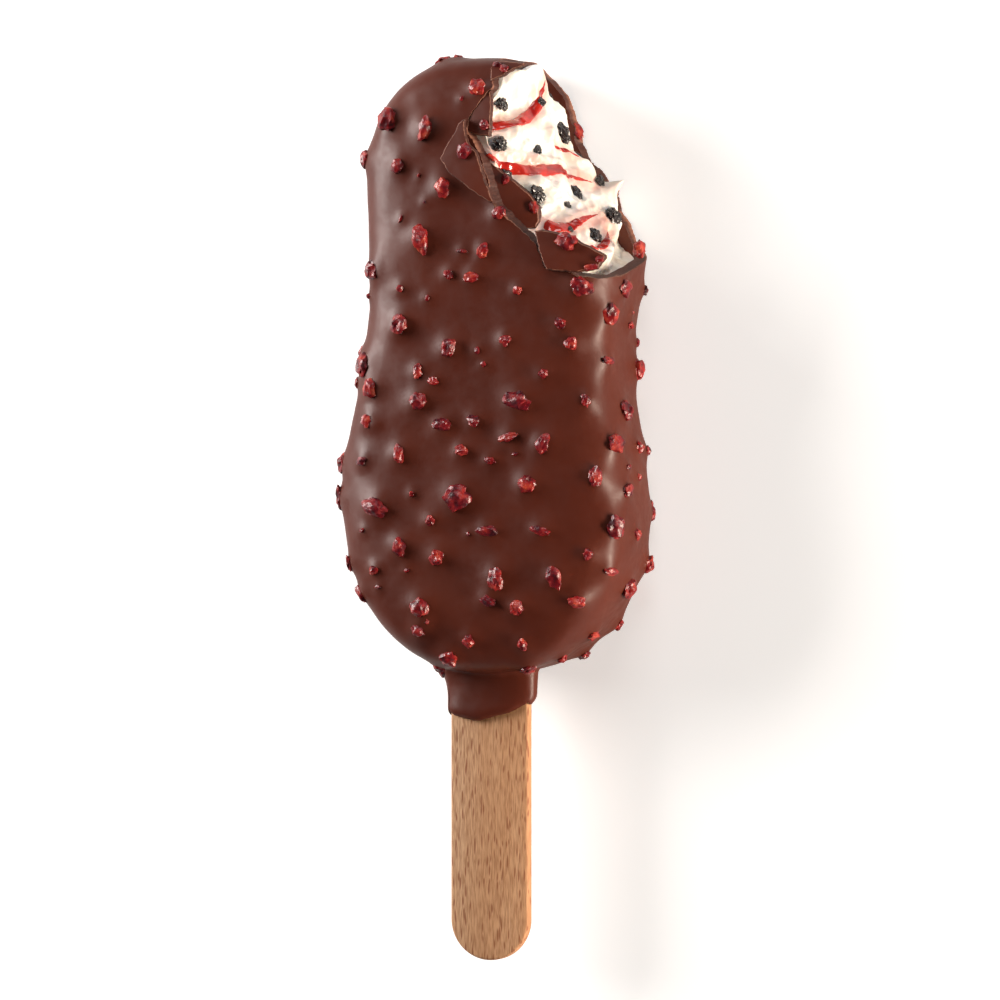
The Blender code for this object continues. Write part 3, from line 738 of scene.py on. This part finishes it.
def ripple_shape(ripple, seed):
    """A ribbon of sauce lying on the ice cream, and each point's share of the way to its edge."""
    _, line, widths = ripple
    points = [Vector(point) for point in line]
    rings, shares = [], []
    for k in range(RIPPLE_STEPS + 1):
        share = k / RIPPLE_STEPS
        here = curve_point(points, share)
        ahead = curve_point(points, min(share + 0.02, 1.0)) - curve_point(points, max(share - 0.02, 0.0))
        side = Vector((-ahead.y, ahead.x)).normalized()
        swell = 1 + 0.25 * noise.noise(Vector((share * 9, seed, 0)))
        taper = min(1.0, math.sqrt(max(share, 0.0) * 12) + 0.05, math.sqrt(max(1 - share, 0.0) * 9) + 0.05)
        half = ripple_width(widths, share) / 2 * swell * taper
        ring = []
        for i in range(RIPPLE_SIDES):
            angle = math.tau * i / RIPPLE_SIDES
            spot = here + side * half * math.cos(angle)
            rise = math.sin(angle)
            height = cream_height(spot.x, spot.y)
            lift = RIPPLE_BULGE * min(1.0, half * 1.3) * rise if rise > 0 else RIPPLE_SINK * rise
            ring.append(tuple(bite_point(spot.x, spot.y, height + lift)))
            shares.append(abs(math.cos(angle)))
        rings.append(ring)
    return (*loft(rings), shares)


# ---------------------------------------------------------------- fruit

def sphere_template(subdivisions):
    bm = bmesh.new()
    bmesh.ops.create_icosphere(bm, subdivisions=subdivisions, radius=1.0)
    bm.verts.index_update()
    points = [v.co.copy() for v in bm.verts]
    faces = [tuple(v.index for v in face.verts) for face in bm.faces]
    bm.free()
    return points, faces


SPHERES = {level: sphere_template(level) for level in (2, 3, 4)}


class Heap:
    """Many closed pieces gathered into one mesh, each with a tone of its own."""

    def __init__(self):
        self.points, self.faces, self.tones = [], [], []

    def add(self, points, faces, tone):
        first = len(self.points)
        self.points += points
        self.faces += [tuple(i + first for i in face) for face in faces]
        self.tones += [tone] * len(points)

    def mesh(self, name):
        mesh = put_mesh(name, self.points, self.faces)
        layer = mesh.attributes.new("tone", "FLOAT", "POINT")
        layer.data.foreach_set("value", self.tones)
        return mesh


def chunk(level, radii, seed, creases, lumps):
    """A rough lump: an ellipsoid with creases between flattish faces."""
    points, faces = SPHERES[level]
    shift = Vector((seed * 3.7, seed * 1.3, -seed * 2.1))
    made = []
    for point in points:
        near, _ = noise.voronoi(point * creases + shift)
        crease = math.exp(-(near[1] - near[0]) / 0.22)
        wave = noise.noise(point * 1.5 + shift)
        radius = 1 + 0.38 * wave - lumps * crease + 0.06 * noise.noise(point * 6 + shift)
        made.append(Vector((point.x * radii[0], point.y * radii[1], point.z * radii[2])) * radius)
    return made, faces


def surface_frame(normal, turn):
    """Axes with z along the normal and y near the bar's length, turned about the normal."""
    z_axis = normal.normalized()
    guide = Vector((0, 1, 0)) if abs(z_axis.y) < 0.9 else Vector((0, 0, 1))
    x_axis = guide.cross(z_axis).normalized()
    y_axis = z_axis.cross(x_axis)
    return Matrix((x_axis, y_axis, z_axis)).transposed() @ Matrix.Rotation(turn, 3, "Z")


def add_piece(heap, spot, normal, width, length, sunk, rng, level, creases, lumps, flatness=0.36):
    """One piece on a surface; sunk is how much of its half thickness is under it."""
    size = min(width, length)
    half_height = size * flatness + 0.12
    radii = (width * PIECE_FULLNESS / 2, length * PIECE_FULLNESS / 2, half_height)
    points, faces = chunk(level, radii, rng.uniform(0, 90), creases, lumps)
    axes = surface_frame(normal, rng.uniform(-0.35, 0.35))
    centre = spot + normal * half_height * (1 - sunk)
    placed = []
    for point in points:
        place = centre + axes @ point
        place.z = max(place.z, REST_Z + 0.01)
        placed.append(tuple(place))
    heap.add(placed, faces, rng.random())


def swelling(width, length):
    """How far the coating swells over a piece, and how wide."""
    size = math.sqrt(width * length)
    base, share, limit = SWELL_HEIGHT
    return min(base + share * size, limit), SWELL_REACH[0] + SWELL_REACH[1] * size


def body_tree(mesh):
    """The mesh in the drawing frame, ready for casting rays onto it."""
    bm = bmesh.new()
    bm.from_mesh(mesh)
    bm.transform(Matrix.Scale(1 / MM, 4) @ Matrix.Translation(-Vector(ORIGIN)))
    tree = BVHTree.FromBMesh(bm)
    bm.free()
    return tree


def in_bite(spot):
    """Whether a point is where the coating has broken off, or close to it."""
    rim = [Vector(b).lerp(Vector(f), rim_share(spot.z)) for b, f in zip(RIM_BACK, RIM_FRONT)]
    for here, there in zip(rim, rim[1:]):
        low, high = sorted((here.y, there.y))
        if low - 0.5 <= spot.y <= high + 0.5:
            t = (spot.y - here.y) / ((there.y - here.y) or 1)
            if spot.x > here.x + (there.x - here.x) * min(max(t, 0), 1) - 0.8:
                return True
    return False


def coat_pieces(tree, rng):
    """Where the red pieces sit on the whole coating: (point, normal, width, length)."""
    found = []

    def cast(start, way, width, length):
        spot, normal, _, _ = tree.ray_cast(Vector(start), Vector(way))
        if spot is not None:
            found.append((spot, normal, width, length))

    for x, y, width, length in FRONT_PIECES:
        cast((x, y, 40), (0, 0, -1), width, length)
    for y, z, width, length in SIDE_PIECES:
        cast((60, y, z), (-1, 0, 0), width, length)
    for x, y, z, width, length in EDGE_PIECES:
        spot, normal, _, _ = tree.find_nearest(Vector((x, y, z)))
        found.append((spot, normal, width, length))
    hidden = 0
    while hidden < HIDDEN_PIECES:
        angle = rng.uniform(0, math.tau)
        y = rng.uniform(-46, 46)
        start = Vector((60 * math.cos(angle), y, 60 * math.sin(angle)))
        spot, normal, _, _ = tree.ray_cast(start, Vector((0, y, 0)) - start)
        if spot is None or normal.z > 0.45 or (normal.x > 0.6 and spot.z > -7) or in_bite(spot):
            continue
        width, length = rng.uniform(1.0, 2.9), rng.uniform(1.2, 3.0)
        if any((spot - other[0]).length < HIDDEN_SPACING for other in found):
            continue
        found.append((spot, normal, width, length))
        hidden += 1
    return found


# ---------------------------------------------------------------- materials

def node_material(name):
    made = bpy.data.materials.new(name)
    made.use_nodes = True
    nodes, links = made.node_tree.nodes, made.node_tree.links
    return made, nodes, links, nodes["Principled BSDF"]


def add_node(nodes, kind, **settings):
    node = nodes.new(kind)
    for key, value in settings.items():
        if hasattr(node, key):
            setattr(node, key, value)
        else:
            node.inputs[key.replace("_", " ").title()].default_value = value
    return node


def noise_node(nodes, links, vector, scale, detail=2.0):
    node = add_node(nodes, "ShaderNodeTexNoise", scale=scale, detail=detail)
    links.new(vector, node.inputs["Vector"])
    return node.outputs["Fac"]


def ramp_node(nodes, links, factor, stops):
    node = nodes.new("ShaderNodeValToRGB")
    elements = node.color_ramp.elements
    while len(elements) < len(stops):
        elements.new(0.5)
    for element, (position, colour) in zip(elements, stops):
        element.position = position
        element.color = (*colour, 1.0)
    links.new(factor, node.inputs["Fac"])
    return node.outputs["Color"]


def level_node(nodes, links, factor, low, high, to_low=0.0, to_high=1.0):
    node = nodes.new("ShaderNodeMapRange")
    node.inputs["From Min"].default_value = low
    node.inputs["From Max"].default_value = high
    node.inputs["To Min"].default_value = to_low
    node.inputs["To Max"].default_value = to_high
    links.new(factor, node.inputs["Value"])
    return node.outputs["Result"]


def mix_node(nodes, links, factor, low, high):
    """A colour mix; each side is a colour or a socket."""
    node = nodes.new("ShaderNodeMix")
    node.data_type = "RGBA"
    for socket, value in ((node.inputs[6], low), (node.inputs[7], high)):
        if isinstance(value, tuple):
            socket.default_value = (*value, 1.0)
        else:
            links.new(value, socket)
    links.new(factor, node.inputs[0])
    return node.outputs[2]


def bump_node(nodes, links, shader, height, strength, distance):
    node = nodes.new("ShaderNodeBump")
    node.inputs["Strength"].default_value = strength
    node.inputs["Distance"].default_value = distance
    links.new(height, node.inputs["Height"])
    links.new(node.outputs["Normal"], shader.inputs["Normal"])


def chocolate_material():
    made, nodes, links, shader = node_material("chocolate_coating")
    place = nodes.new("ShaderNodeTexCoord").outputs["Object"]
    cloud = noise_node(nodes, links, place, 90.0, 3.0)
    fine = noise_node(nodes, links, place, 900.0, 3.0)
    colour = ramp_node(nodes, links, cloud, (
        (0.30, (0.083, 0.0158, 0.0082)), (0.55, (0.096, 0.0190, 0.0100)), (0.80, (0.112, 0.0235, 0.0125))))
    links.new(colour, shader.inputs["Base Color"])
    links.new(level_node(nodes, links, fine, 0.3, 0.7, 0.34, 0.44), shader.inputs["Roughness"])
    shader.inputs["Specular IOR Level"].default_value = 0.27
    bump_node(nodes, links, shader, fine, 0.10, 0.00012)
    return made


def broken_material():
    """Broken chocolate, paler along its edges, where the lip attribute is 1, and darkened elsewhere as
    painted shade.
    """
    made, nodes, links, shader = node_material("chocolate_broken_painted_shade")
    place = nodes.new("ShaderNodeTexCoord").outputs["Object"]
    grain = noise_node(nodes, links, place, 2600.0, 3.0)
    # Painted shade: the broken faces away from the lip get a darker colour, as if in shadow; the paler lip
    # colour is the broken chocolate's own.
    painted_shade_wall = ramp_node(nodes, links, grain, (
        (0.30, (0.045, 0.010, 0.006)), (0.55, (0.070, 0.018, 0.010)), (0.78, (0.105, 0.032, 0.019))))
    edge = ramp_node(nodes, links, grain, (
        (0.30, (0.18, 0.065, 0.038)), (0.55, (0.28, 0.115, 0.070)), (0.78, (0.37, 0.170, 0.110))))
    lip = add_node(nodes, "ShaderNodeAttribute", attribute_name="lip").outputs["Fac"]
    share = level_node(nodes, links, lip, 0.30, 0.85)
    links.new(mix_node(nodes, links, share, painted_shade_wall, edge), shader.inputs["Base Color"])
    shader.inputs["Roughness"].default_value = 0.62
    bump_node(nodes, links, shader, grain, 0.35, 0.00015)
    return made


def cream_material():
    made, nodes, links, shader = node_material("ice_cream")
    place = nodes.new("ShaderNodeTexCoord").outputs["Object"]
    tint = add_node(nodes, "ShaderNodeAttribute", attribute_name="tint").outputs["Fac"]
    cloud = noise_node(nodes, links, place, 210.0, 3.0)
    fine = noise_node(nodes, links, place, 1500.0, 4.0)
    cream = ramp_node(nodes, links, cloud, (
        (0.30, (0.83, 0.74, 0.61)), (0.44, (0.89, 0.86, 0.78)), (0.62, (0.91, 0.90, 0.87))))
    colour = mix_node(nodes, links, tint, cream, (0.78, 0.38, 0.31))
    links.new(colour, shader.inputs["Base Color"])
    shader.inputs["Roughness"].default_value = 0.38
    shader.inputs["Subsurface Weight"].default_value = 0.15
    shader.inputs["Subsurface Radius"].default_value = (1.0, 0.6, 0.4)
    shader.inputs["Subsurface Scale"].default_value = 0.0005
    shader.inputs["Coat Weight"].default_value = 0.25
    shader.inputs["Coat Roughness"].default_value = 0.25
    bump_node(nodes, links, shader, fine, 0.25, 0.0001)
    return made


def sauce_material():
    made, nodes, links, shader = node_material("fruit_sauce")
    place = nodes.new("ShaderNodeTexCoord").outputs["Object"]
    edge = add_node(nodes, "ShaderNodeAttribute", attribute_name="edge").outputs["Fac"]
    streak = noise_node(nodes, links, place, 520.0, 2.0)
    inner = ramp_node(nodes, links, streak, ((0.35, (0.30, 0.006, 0.004)), (0.65, (0.52, 0.022, 0.012))))
    share = level_node(nodes, links, edge, 0.86, 1.0)
    links.new(mix_node(nodes, links, share, inner, (0.66, 0.10, 0.07)), shader.inputs["Base Color"])
    shader.inputs["Roughness"].default_value = 0.14
    shader.inputs["Coat Weight"].default_value = 0.6
    shader.inputs["Coat Roughness"].default_value = 0.05
    shader.inputs["Subsurface Weight"].default_value = 0.15
    shader.inputs["Subsurface Scale"].default_value = 0.0006
    bump_node(nodes, links, shader, streak, 0.25, 0.0003)
    return made


def red_fruit_material():
    made, nodes, links, shader = node_material("red_fruit")
    place = nodes.new("ShaderNodeTexCoord").outputs["Object"]
    tone = add_node(nodes, "ShaderNodeAttribute", attribute_name="tone").outputs["Fac"]
    cloud = noise_node(nodes, links, place, 750.0, 3.0)
    fine = noise_node(nodes, links, place, 2400.0, 2.0)
    dark = ramp_node(nodes, links, cloud, (
        (0.36, (0.035, 0.002, 0.006)), (0.52, (0.150, 0.004, 0.010)), (0.72, (0.330, 0.022, 0.022))))
    light = ramp_node(nodes, links, cloud, (
        (0.34, (0.100, 0.003, 0.006)), (0.52, (0.310, 0.011, 0.012)), (0.72, (0.540, 0.080, 0.040))))
    links.new(mix_node(nodes, links, tone, dark, light), shader.inputs["Base Color"])
    shader.inputs["Roughness"].default_value = 0.34
    shader.inputs["Coat Weight"].default_value = 0.1
    shader.inputs["Coat Roughness"].default_value = 0.15
    shader.inputs["Subsurface Weight"].default_value = 0.12
    shader.inputs["Subsurface Scale"].default_value = 0.0005
    bump_node(nodes, links, shader, fine, 0.5, 0.0002)
    return made


def dark_fruit_material():
    made, nodes, links, shader = node_material("dark_fruit")
    place = nodes.new("ShaderNodeTexCoord").outputs["Object"]
    cloud = noise_node(nodes, links, place, 1100.0, 3.0)
    colour = ramp_node(nodes, links, cloud, ((0.35, (0.007, 0.005, 0.006)), (0.70, (0.035, 0.022, 0.020))))
    links.new(colour, shader.inputs["Base Color"])
    shader.inputs["Roughness"].default_value = 0.24
    shader.inputs["Coat Weight"].default_value = 0.5
    shader.inputs["Coat Roughness"].default_value = 0.1
    bump_node(nodes, links, shader, cloud, 0.5, 0.0002)
    return made


def beech_material():
    made, nodes, links, shader = node_material("beech_stick")
    place = nodes.new("ShaderNodeTexCoord").outputs["Object"]

    def stretched(x, y, z):
        node = nodes.new("ShaderNodeMapping")
        node.inputs["Scale"].default_value = (x, y, z)
        links.new(place, node.inputs["Vector"])
        return node.outputs["Vector"]

    grain = noise_node(nodes, links, stretched(4200, 420, 4200), 1.0, 4.0)
    bands = noise_node(nodes, links, stretched(260, 12, 260), 1.0, 2.0)
    cells = add_node(nodes, "ShaderNodeTexVoronoi", scale=1.0)
    drift = nodes.new("ShaderNodeVectorMath")
    drift.operation = "MULTIPLY_ADD"
    wander = add_node(nodes, "ShaderNodeTexNoise", scale=160.0, detail=2.0)
    links.new(place, wander.inputs["Vector"])
    links.new(wander.outputs["Color"], drift.inputs[0])
    drift.inputs[1].default_value = (1.6, 1.6, 0.0)
    links.new(stretched(2100, 330, 900), drift.inputs[2])
    links.new(drift.outputs[0], cells.inputs["Vector"])
    base = ramp_node(nodes, links, bands, (
        (0.30, (0.50, 0.255, 0.120)), (0.50, (0.59, 0.320, 0.165)), (0.72, (0.65, 0.380, 0.215))))
    streaks = level_node(nodes, links, grain, 0.38, 0.66, 0.0, 0.85)
    streaked = mix_node(nodes, links, streaks, base, (0.36, 0.165, 0.075))
    flecks = level_node(nodes, links, cells.outputs["Distance"], 0.18, 0.34, 0.85, 0.0)
    links.new(mix_node(nodes, links, flecks, streaked, (0.27, 0.092, 0.040)), shader.inputs["Base Color"])
    shader.inputs["Roughness"].default_value = 0.66
    shader.inputs["Specular IOR Level"].default_value = 0.3
    bump_node(nodes, links, shader, grain, 0.55, 0.0002)
    return made


def floor_material():
    """A pale floor that shows white round the object and keeps its shadow."""
    made, nodes, links, shader = node_material("pale_floor")
    shader.inputs["Base Color"].default_value = (0.86, 0.86, 0.86, 1.0)
    shader.inputs["Roughness"].default_value = 0.8
    shader.inputs["Specular IOR Level"].default_value = 0.1
    glow = nodes.new("ShaderNodeEmission")
    path = nodes.new("ShaderNodeLightPath")
    strength = nodes.new("ShaderNodeMath")
    strength.operation = "MULTIPLY"
    strength.inputs[1].default_value = FLOOR_GLOW
    links.new(path.outputs["Is Camera Ray"], strength.inputs[0])
    links.new(strength.outputs[0], glow.inputs["Strength"])
    both = nodes.new("ShaderNodeAddShader")
    links.new(shader.outputs[0], both.inputs[0])
    links.new(glow.outputs[0], both.inputs[1])
    links.new(both.outputs[0], nodes["Material Output"].inputs["Surface"])
    return made


MATERIALS = {
    "chocolate": chocolate_material(),
    "inside": chocolate_material(),
    "broken": broken_material(),
    "cream": cream_material(),
    "sauce": sauce_material(),
    "red": red_fruit_material(),
    "dark": dark_fruit_material(),
    "beech": beech_material(),
}


# ---------------------------------------------------------------- pieces

def swollen(mesh, pieces):
    """Raises the coating over its fruit pieces and gives it a faint unevenness."""
    points, normals = drawn_points(mesh), normals_of(mesh)
    lift = np.zeros(len(points))
    for spot, _, width, length in pieces:
        height, reach = swelling(width, length)
        square = ((points - np.array(spot)) ** 2).sum(axis=1)
        near = square < (3 * reach) ** 2
        lift[near] = np.maximum(lift[near], 0) + height * np.exp(-square[near] / reach ** 2)
    for i, point in enumerate(points):
        spot = Vector(point)
        lift[i] += 0.16 * noise.noise(spot * 0.14) + 0.05 * noise.noise(spot * 0.4)
    points += normals * lift[:, None]
    points[:, 2] = np.maximum(points[:, 2], REST_Z)
    move_points(mesh, points)


def build_coating():
    """Builds the coating with its collar, and says where its fruit pieces are."""
    body = add_object("body", recalc(put_mesh("body", *body_shape(60, 120))))
    collar = add_object("collar", recalc(put_mesh("collar", *collar_shape())))
    whole = add_object("whole", carve(body, [collar], "UNION"))
    remesh = whole.modifiers.new("even", "REMESH")
    remesh.mode = "VOXEL"
    remesh.voxel_size = COAT_VOXEL * MM
    mesh = baked(whole, "coating")
    mesh.materials.clear()
    smoothed(mesh, 6)
    pieces = coat_pieces(body_tree(mesh), random.Random(7))
    swollen(mesh, pieces)
    coating = add_object("coating_shell", mesh, MATERIALS["chocolate"])
    hollow = recalc(put_mesh("hollow", *body_shape(24, 60, COAT_THICKNESS)))
    bore = recalc(put_mesh("bore", *stick_shape(0.25)))
    carved = carve(coating, [
        add_object("hollow", hollow, MATERIALS["inside"]),
        add_object("bore", bore, MATERIALS["chocolate"]),
        rim_cutter(MATERIALS["broken"]),
    ])
    mark_lips(carved)
    finish_piece("coating_shell", carved, ["coating"], 50)
    return pieces


def mark_lips(mesh):
    """Sets the lip attribute to 1 on broken chocolate where it meets the outer surface."""
    outer = {i for i, item in enumerate(mesh.materials) if item == MATERIALS["chocolate"]}
    broken = {i for i, item in enumerate(mesh.materials) if item == MATERIALS["broken"]}
    on_outer, on_broken = set(), set()
    for face in mesh.polygons:
        if face.material_index in outer:
            on_outer.update(face.vertices)
        elif face.material_index in broken:
            on_broken.update(face.vertices)
    lips = on_outer & on_broken
    layer = mesh.attributes.new("lip", "FLOAT", "POINT")
    layer.data.foreach_set("value", [1.0 if i in lips else 0.0 for i in range(len(mesh.vertices))])


def stick_shape(grow=0.0):
    """The stick, with rounded edges, or its outline grown for the bore."""
    steps, rounding = 40, 0.4
    rings = []
    levels = [(-1, 0.0), (1, 0.0)] if grow else [
        (side * (1 - (1 - math.sin(t)) * rounding * 2 / STICK_THICKNESS), rounding * (1 - math.cos(t)))
        for side, turns in ((-1, (1.0, 0.6, 0.3, 0.0)), (1, (0.0, 0.3, 0.6, 1.0)))
        for t in [math.pi / 2 * turn for turn in turns]
    ]
    for level, inset in levels:
        radius = STICK_WIDTH / 2 + grow - inset
        ring = []
        low = STICK_END_Y + STICK_WIDTH / 2
        high = STICK_END_Y + STICK_LENGTH - STICK_WIDTH / 2
        for centre_y, first in ((high, 0.0), (low, math.pi)):
            for i in range(steps + 1):
                angle = first + math.pi * i / steps
                ring.append((
                    radius * math.cos(angle), centre_y + radius * math.sin(angle),
                    level * (STICK_THICKNESS / 2 + grow),
                ))
        rings.append(ring)
    return loft(rings)


def build_stick():
    mesh = recalc(put_mesh("stick_wood", *stick_shape()))
    mesh.materials.append(MATERIALS["beech"])
    finish_piece("stick_wood", mesh, ["stick"], 50)


def line_distance(points, line):
    """Each (along, across) point's distance from a line of points."""
    nearest = np.full(len(points), 1e9)
    for start, end in zip(line, line[1:]):
        start, end = np.array(start), np.array(end)
        way = end - start
        share = np.clip(((points - start) @ way) / (way @ way), 0, 1)
        nearest = np.minimum(nearest, np.linalg.norm(points - start - share[:, None] * way, axis=1))
    return nearest


def build_cream():
    core = recalc(put_mesh("core", *body_shape(24, 60, COAT_THICKNESS + 0.06)))
    cream = add_object("ice_cream_core", core, MATERIALS["cream"])
    tip_points, tip_faces = SPHERES[4]
    tip = recalc(put_mesh("tip", [(8.0 + 4.6 * p.x, 42.0 + 3.7 * p.y, -0.5 + 6.0 * p.z)
                                  for p in tip_points], tip_faces))
    cream = add_object("ice_cream_core", carve(cream, [add_object("tip", tip, MATERIALS["cream"])], "UNION"))
    bore = add_object("bore", recalc(put_mesh("bore", *stick_shape(0.05))), MATERIALS["cream"])
    clearings = [plate_clearing(plate) for plate in PLATES]
    mesh = carve(cream, [bite_cutter(MATERIALS["cream"]), bore, *clearings])
    offsets = drawn_points(mesh) - np.array(BITE_CENTRE)
    flat = np.stack([offsets @ np.array(ALONG), offsets @ np.array(ACROSS)], axis=1)
    tint = np.zeros(len(flat))
    for _, line, widths in RIPPLES:
        gap = line_distance(flat, line) - max(widths) / 2
        tint = np.maximum(tint, 0.8 * np.exp(-np.maximum(gap, 0) / 0.9))
    blush = np.array([noise.noise(Vector((a * 0.22, b * 0.22, 4.0))) for a, b in flat])
    tint = np.clip(tint * (0.75 + 0.6 * blush) + 0.5 * np.clip(blush - 0.12, 0, 1), 0, 0.9)
    layer = mesh.attributes.new("tint", "FLOAT", "POINT")
    layer.data.foreach_set("value", tint.astype(np.float32))
    finish_piece("ice_cream_core", mesh, ["ice_cream"], 60)


def build_ripples():
    for seed, ripple in enumerate(RIPPLES):
        points, faces, shares = ripple_shape(ripple, seed)
        mesh = recalc(put_mesh(ripple[0], points, faces))
        layer = mesh.attributes.new("edge", "FLOAT", "POINT")
        layer.data.foreach_set("value", shares)
        mesh.materials.append(MATERIALS["sauce"])
        finish_piece(f"{ripple[0]}_ribbon", mesh, [ripple[0]], 80)


def build_plates():
    for seed, plate in enumerate(PLATES):
        slab = plate_slab(plate, MATERIALS["chocolate"])
        prism = plate_prism(plate, seed * 7.0, MATERIALS["broken"])
        mesh = carve(slab, [prism], "INTERSECT")
        mark_lips(mesh)
        finish_piece(f"{plate[0]}_flake", mesh, [plate[0]], 30)


def build_red_pieces(pieces):
    """The red pieces on the coating and on its broken plates."""
    heap = Heap()
    rng = random.Random(21)
    for spot, normal, width, length in pieces:
        height, _ = swelling(width, length)
        level = 3 if max(width, length) > 1.2 else 2
        top = spot + normal * height * 0.62
        add_piece(heap, top, normal, width, length, 0.85, rng, level, 1.5, 0.16)
    for index, x, y, width, length in PLATE_PIECES:
        plate = PLATES[index]
        spot = Vector((x, y, plate_height(plate, x, y)))
        normal = Vector((-plate[4][0], -plate[4][1], 1)).normalized()
        add_piece(heap, spot, normal, width, length, 0.7, rng, 3, 1.5, 0.16)
    for x, y, z, width, length in RIM_PIECES:
        add_piece(heap, Vector((x, y, z)), OUT, width, length, 0.6, rng, 3, 1.5, 0.16)
    mesh = heap.mesh("red_fruit_pieces")
    mesh.materials.append(MATERIALS["red"])
    finish_piece("red_fruit_pieces", mesh, [], 28)


def build_dark_pieces():
    heap = Heap()
    rng = random.Random(5)
    for along, across, width, length in DARK_PIECES:
        height = cream_height(along, across)
        spot = bite_point(along, across, height)
        add_piece(heap, spot, OUT, width, length, 0.75, rng, 4, 2.6, 0.30, 0.34)
    mesh = heap.mesh("dark_fruit_pieces")
    mesh.materials.append(MATERIALS["dark"])
    finish_piece("dark_fruit_pieces", mesh, [], 60)


# ---------------------------------------------------------------- setting

def aim(obj, direction, distance, target):
    """Puts a light at the direction and distance from the target, facing it."""
    way = Vector(direction).normalized()
    obj.location = target + way * distance
    obj.rotation_euler = way.to_track_quat("Z", "Y").to_euler()


def area_light(name, direction, distance, size, power, colour, target):
    light = bpy.data.lights.new(name, "AREA")
    light.shape = "RECTANGLE"
    light.size, light.size_y = size
    light.energy = power
    light.color = colour
    obj = bpy.data.objects.new(name, light)
    bpy.context.scene.collection.objects.link(obj)
    aim(obj, direction, distance, target)


def build_setting():
    low, high = CAD_BOX
    middle = (Vector(low) + Vector(high)) / 2
    corners = ((-1, -1), (1, -1), (1, 1), (-1, 1))
    floor = put_mesh(
        "floor", [(x * FLOOR_REACH, y * FLOOR_REACH, REST_Z - FLOOR_DEPTH) for x, y in corners],
        [(0, 1, 2, 3)],
    )
    floor.materials.append(floor_material())
    floor_object = bpy.data.objects.new("floor", floor)
    bpy.context.scene.collection.objects.link(floor_object)

    area_light("key", (-0.90, 0.34, 0.44), 0.55, (0.34, 0.26), 4.9, (1.0, 0.965, 0.93), middle)
    area_light("side", (0.97, -0.20, 0.11), 0.50, (0.34, 0.08), 4.5, (1.0, 0.85, 0.70), middle)
    area_light("top_end", (0.30, 0.88, 0.62), 0.60, (0.30, 0.20), 0.9, (1.0, 1.0, 1.0), middle)

    world = bpy.data.worlds.new("studio")
    bpy.context.scene.world = world
    world.use_nodes = True
    nodes, links = world.node_tree.nodes, world.node_tree.links
    sky = nodes["Background"]
    split = nodes.new("ShaderNodeSeparateXYZ")
    links.new(nodes.new("ShaderNodeTexCoord").outputs["Generated"], split.inputs[0])
    shade = level_node(nodes, links, split.outputs["Z"], 0.20, 0.90, 1.0, 0.12)
    strength = nodes.new("ShaderNodeMath")
    strength.operation = "MULTIPLY"
    strength.inputs[1].default_value = SKY_STRENGTH
    links.new(shade, strength.inputs[0])
    path = nodes.new("ShaderNodeLightPath")
    plain = nodes.new("ShaderNodeMath")
    plain.operation = "MAXIMUM"
    links.new(strength.outputs[0], plain.inputs[0])
    links.new(path.outputs["Is Camera Ray"], plain.inputs[1])
    links.new(plain.outputs[0], sky.inputs["Strength"])
    sky.inputs["Color"].default_value = (1.0, 1.0, 1.0, 1.0)


def build_camera():
    """Looks down on the bar, 20 degrees round to its bitten side, with the bitten end up."""
    turn = math.radians(VIEW_TURN)
    back = Vector((math.sin(turn), 0, math.cos(turn)))
    right = Vector((math.cos(turn), 0, -math.sin(turn)))
    up = Vector((0, 1, 0))
    target = Vector(ORIGIN) + (up * VIEW_CENTRE[1] + right * VIEW_CENTRE[0]) * MM
    camera = bpy.data.cameras.new("camera")
    camera.lens = LENS
    camera.sensor_width = SENSOR
    obj = bpy.data.objects.new("camera", camera)
    bpy.context.scene.collection.objects.link(obj)
    bpy.context.scene.camera = obj
    distance = VIEW_WIDTH * LENS / SENSOR
    pose = Matrix((right, up, back)).transposed().to_4x4()
    pose.translation = target + back * distance
    obj.matrix_world = pose


build_camera()
build_setting()
coat_fruit = build_coating()
build_cream()
build_ripples()
build_plates()
build_stick()
build_red_pieces(coat_fruit)
build_dark_pieces()

bpy.context.scene.view_settings.view_transform = "Standard"
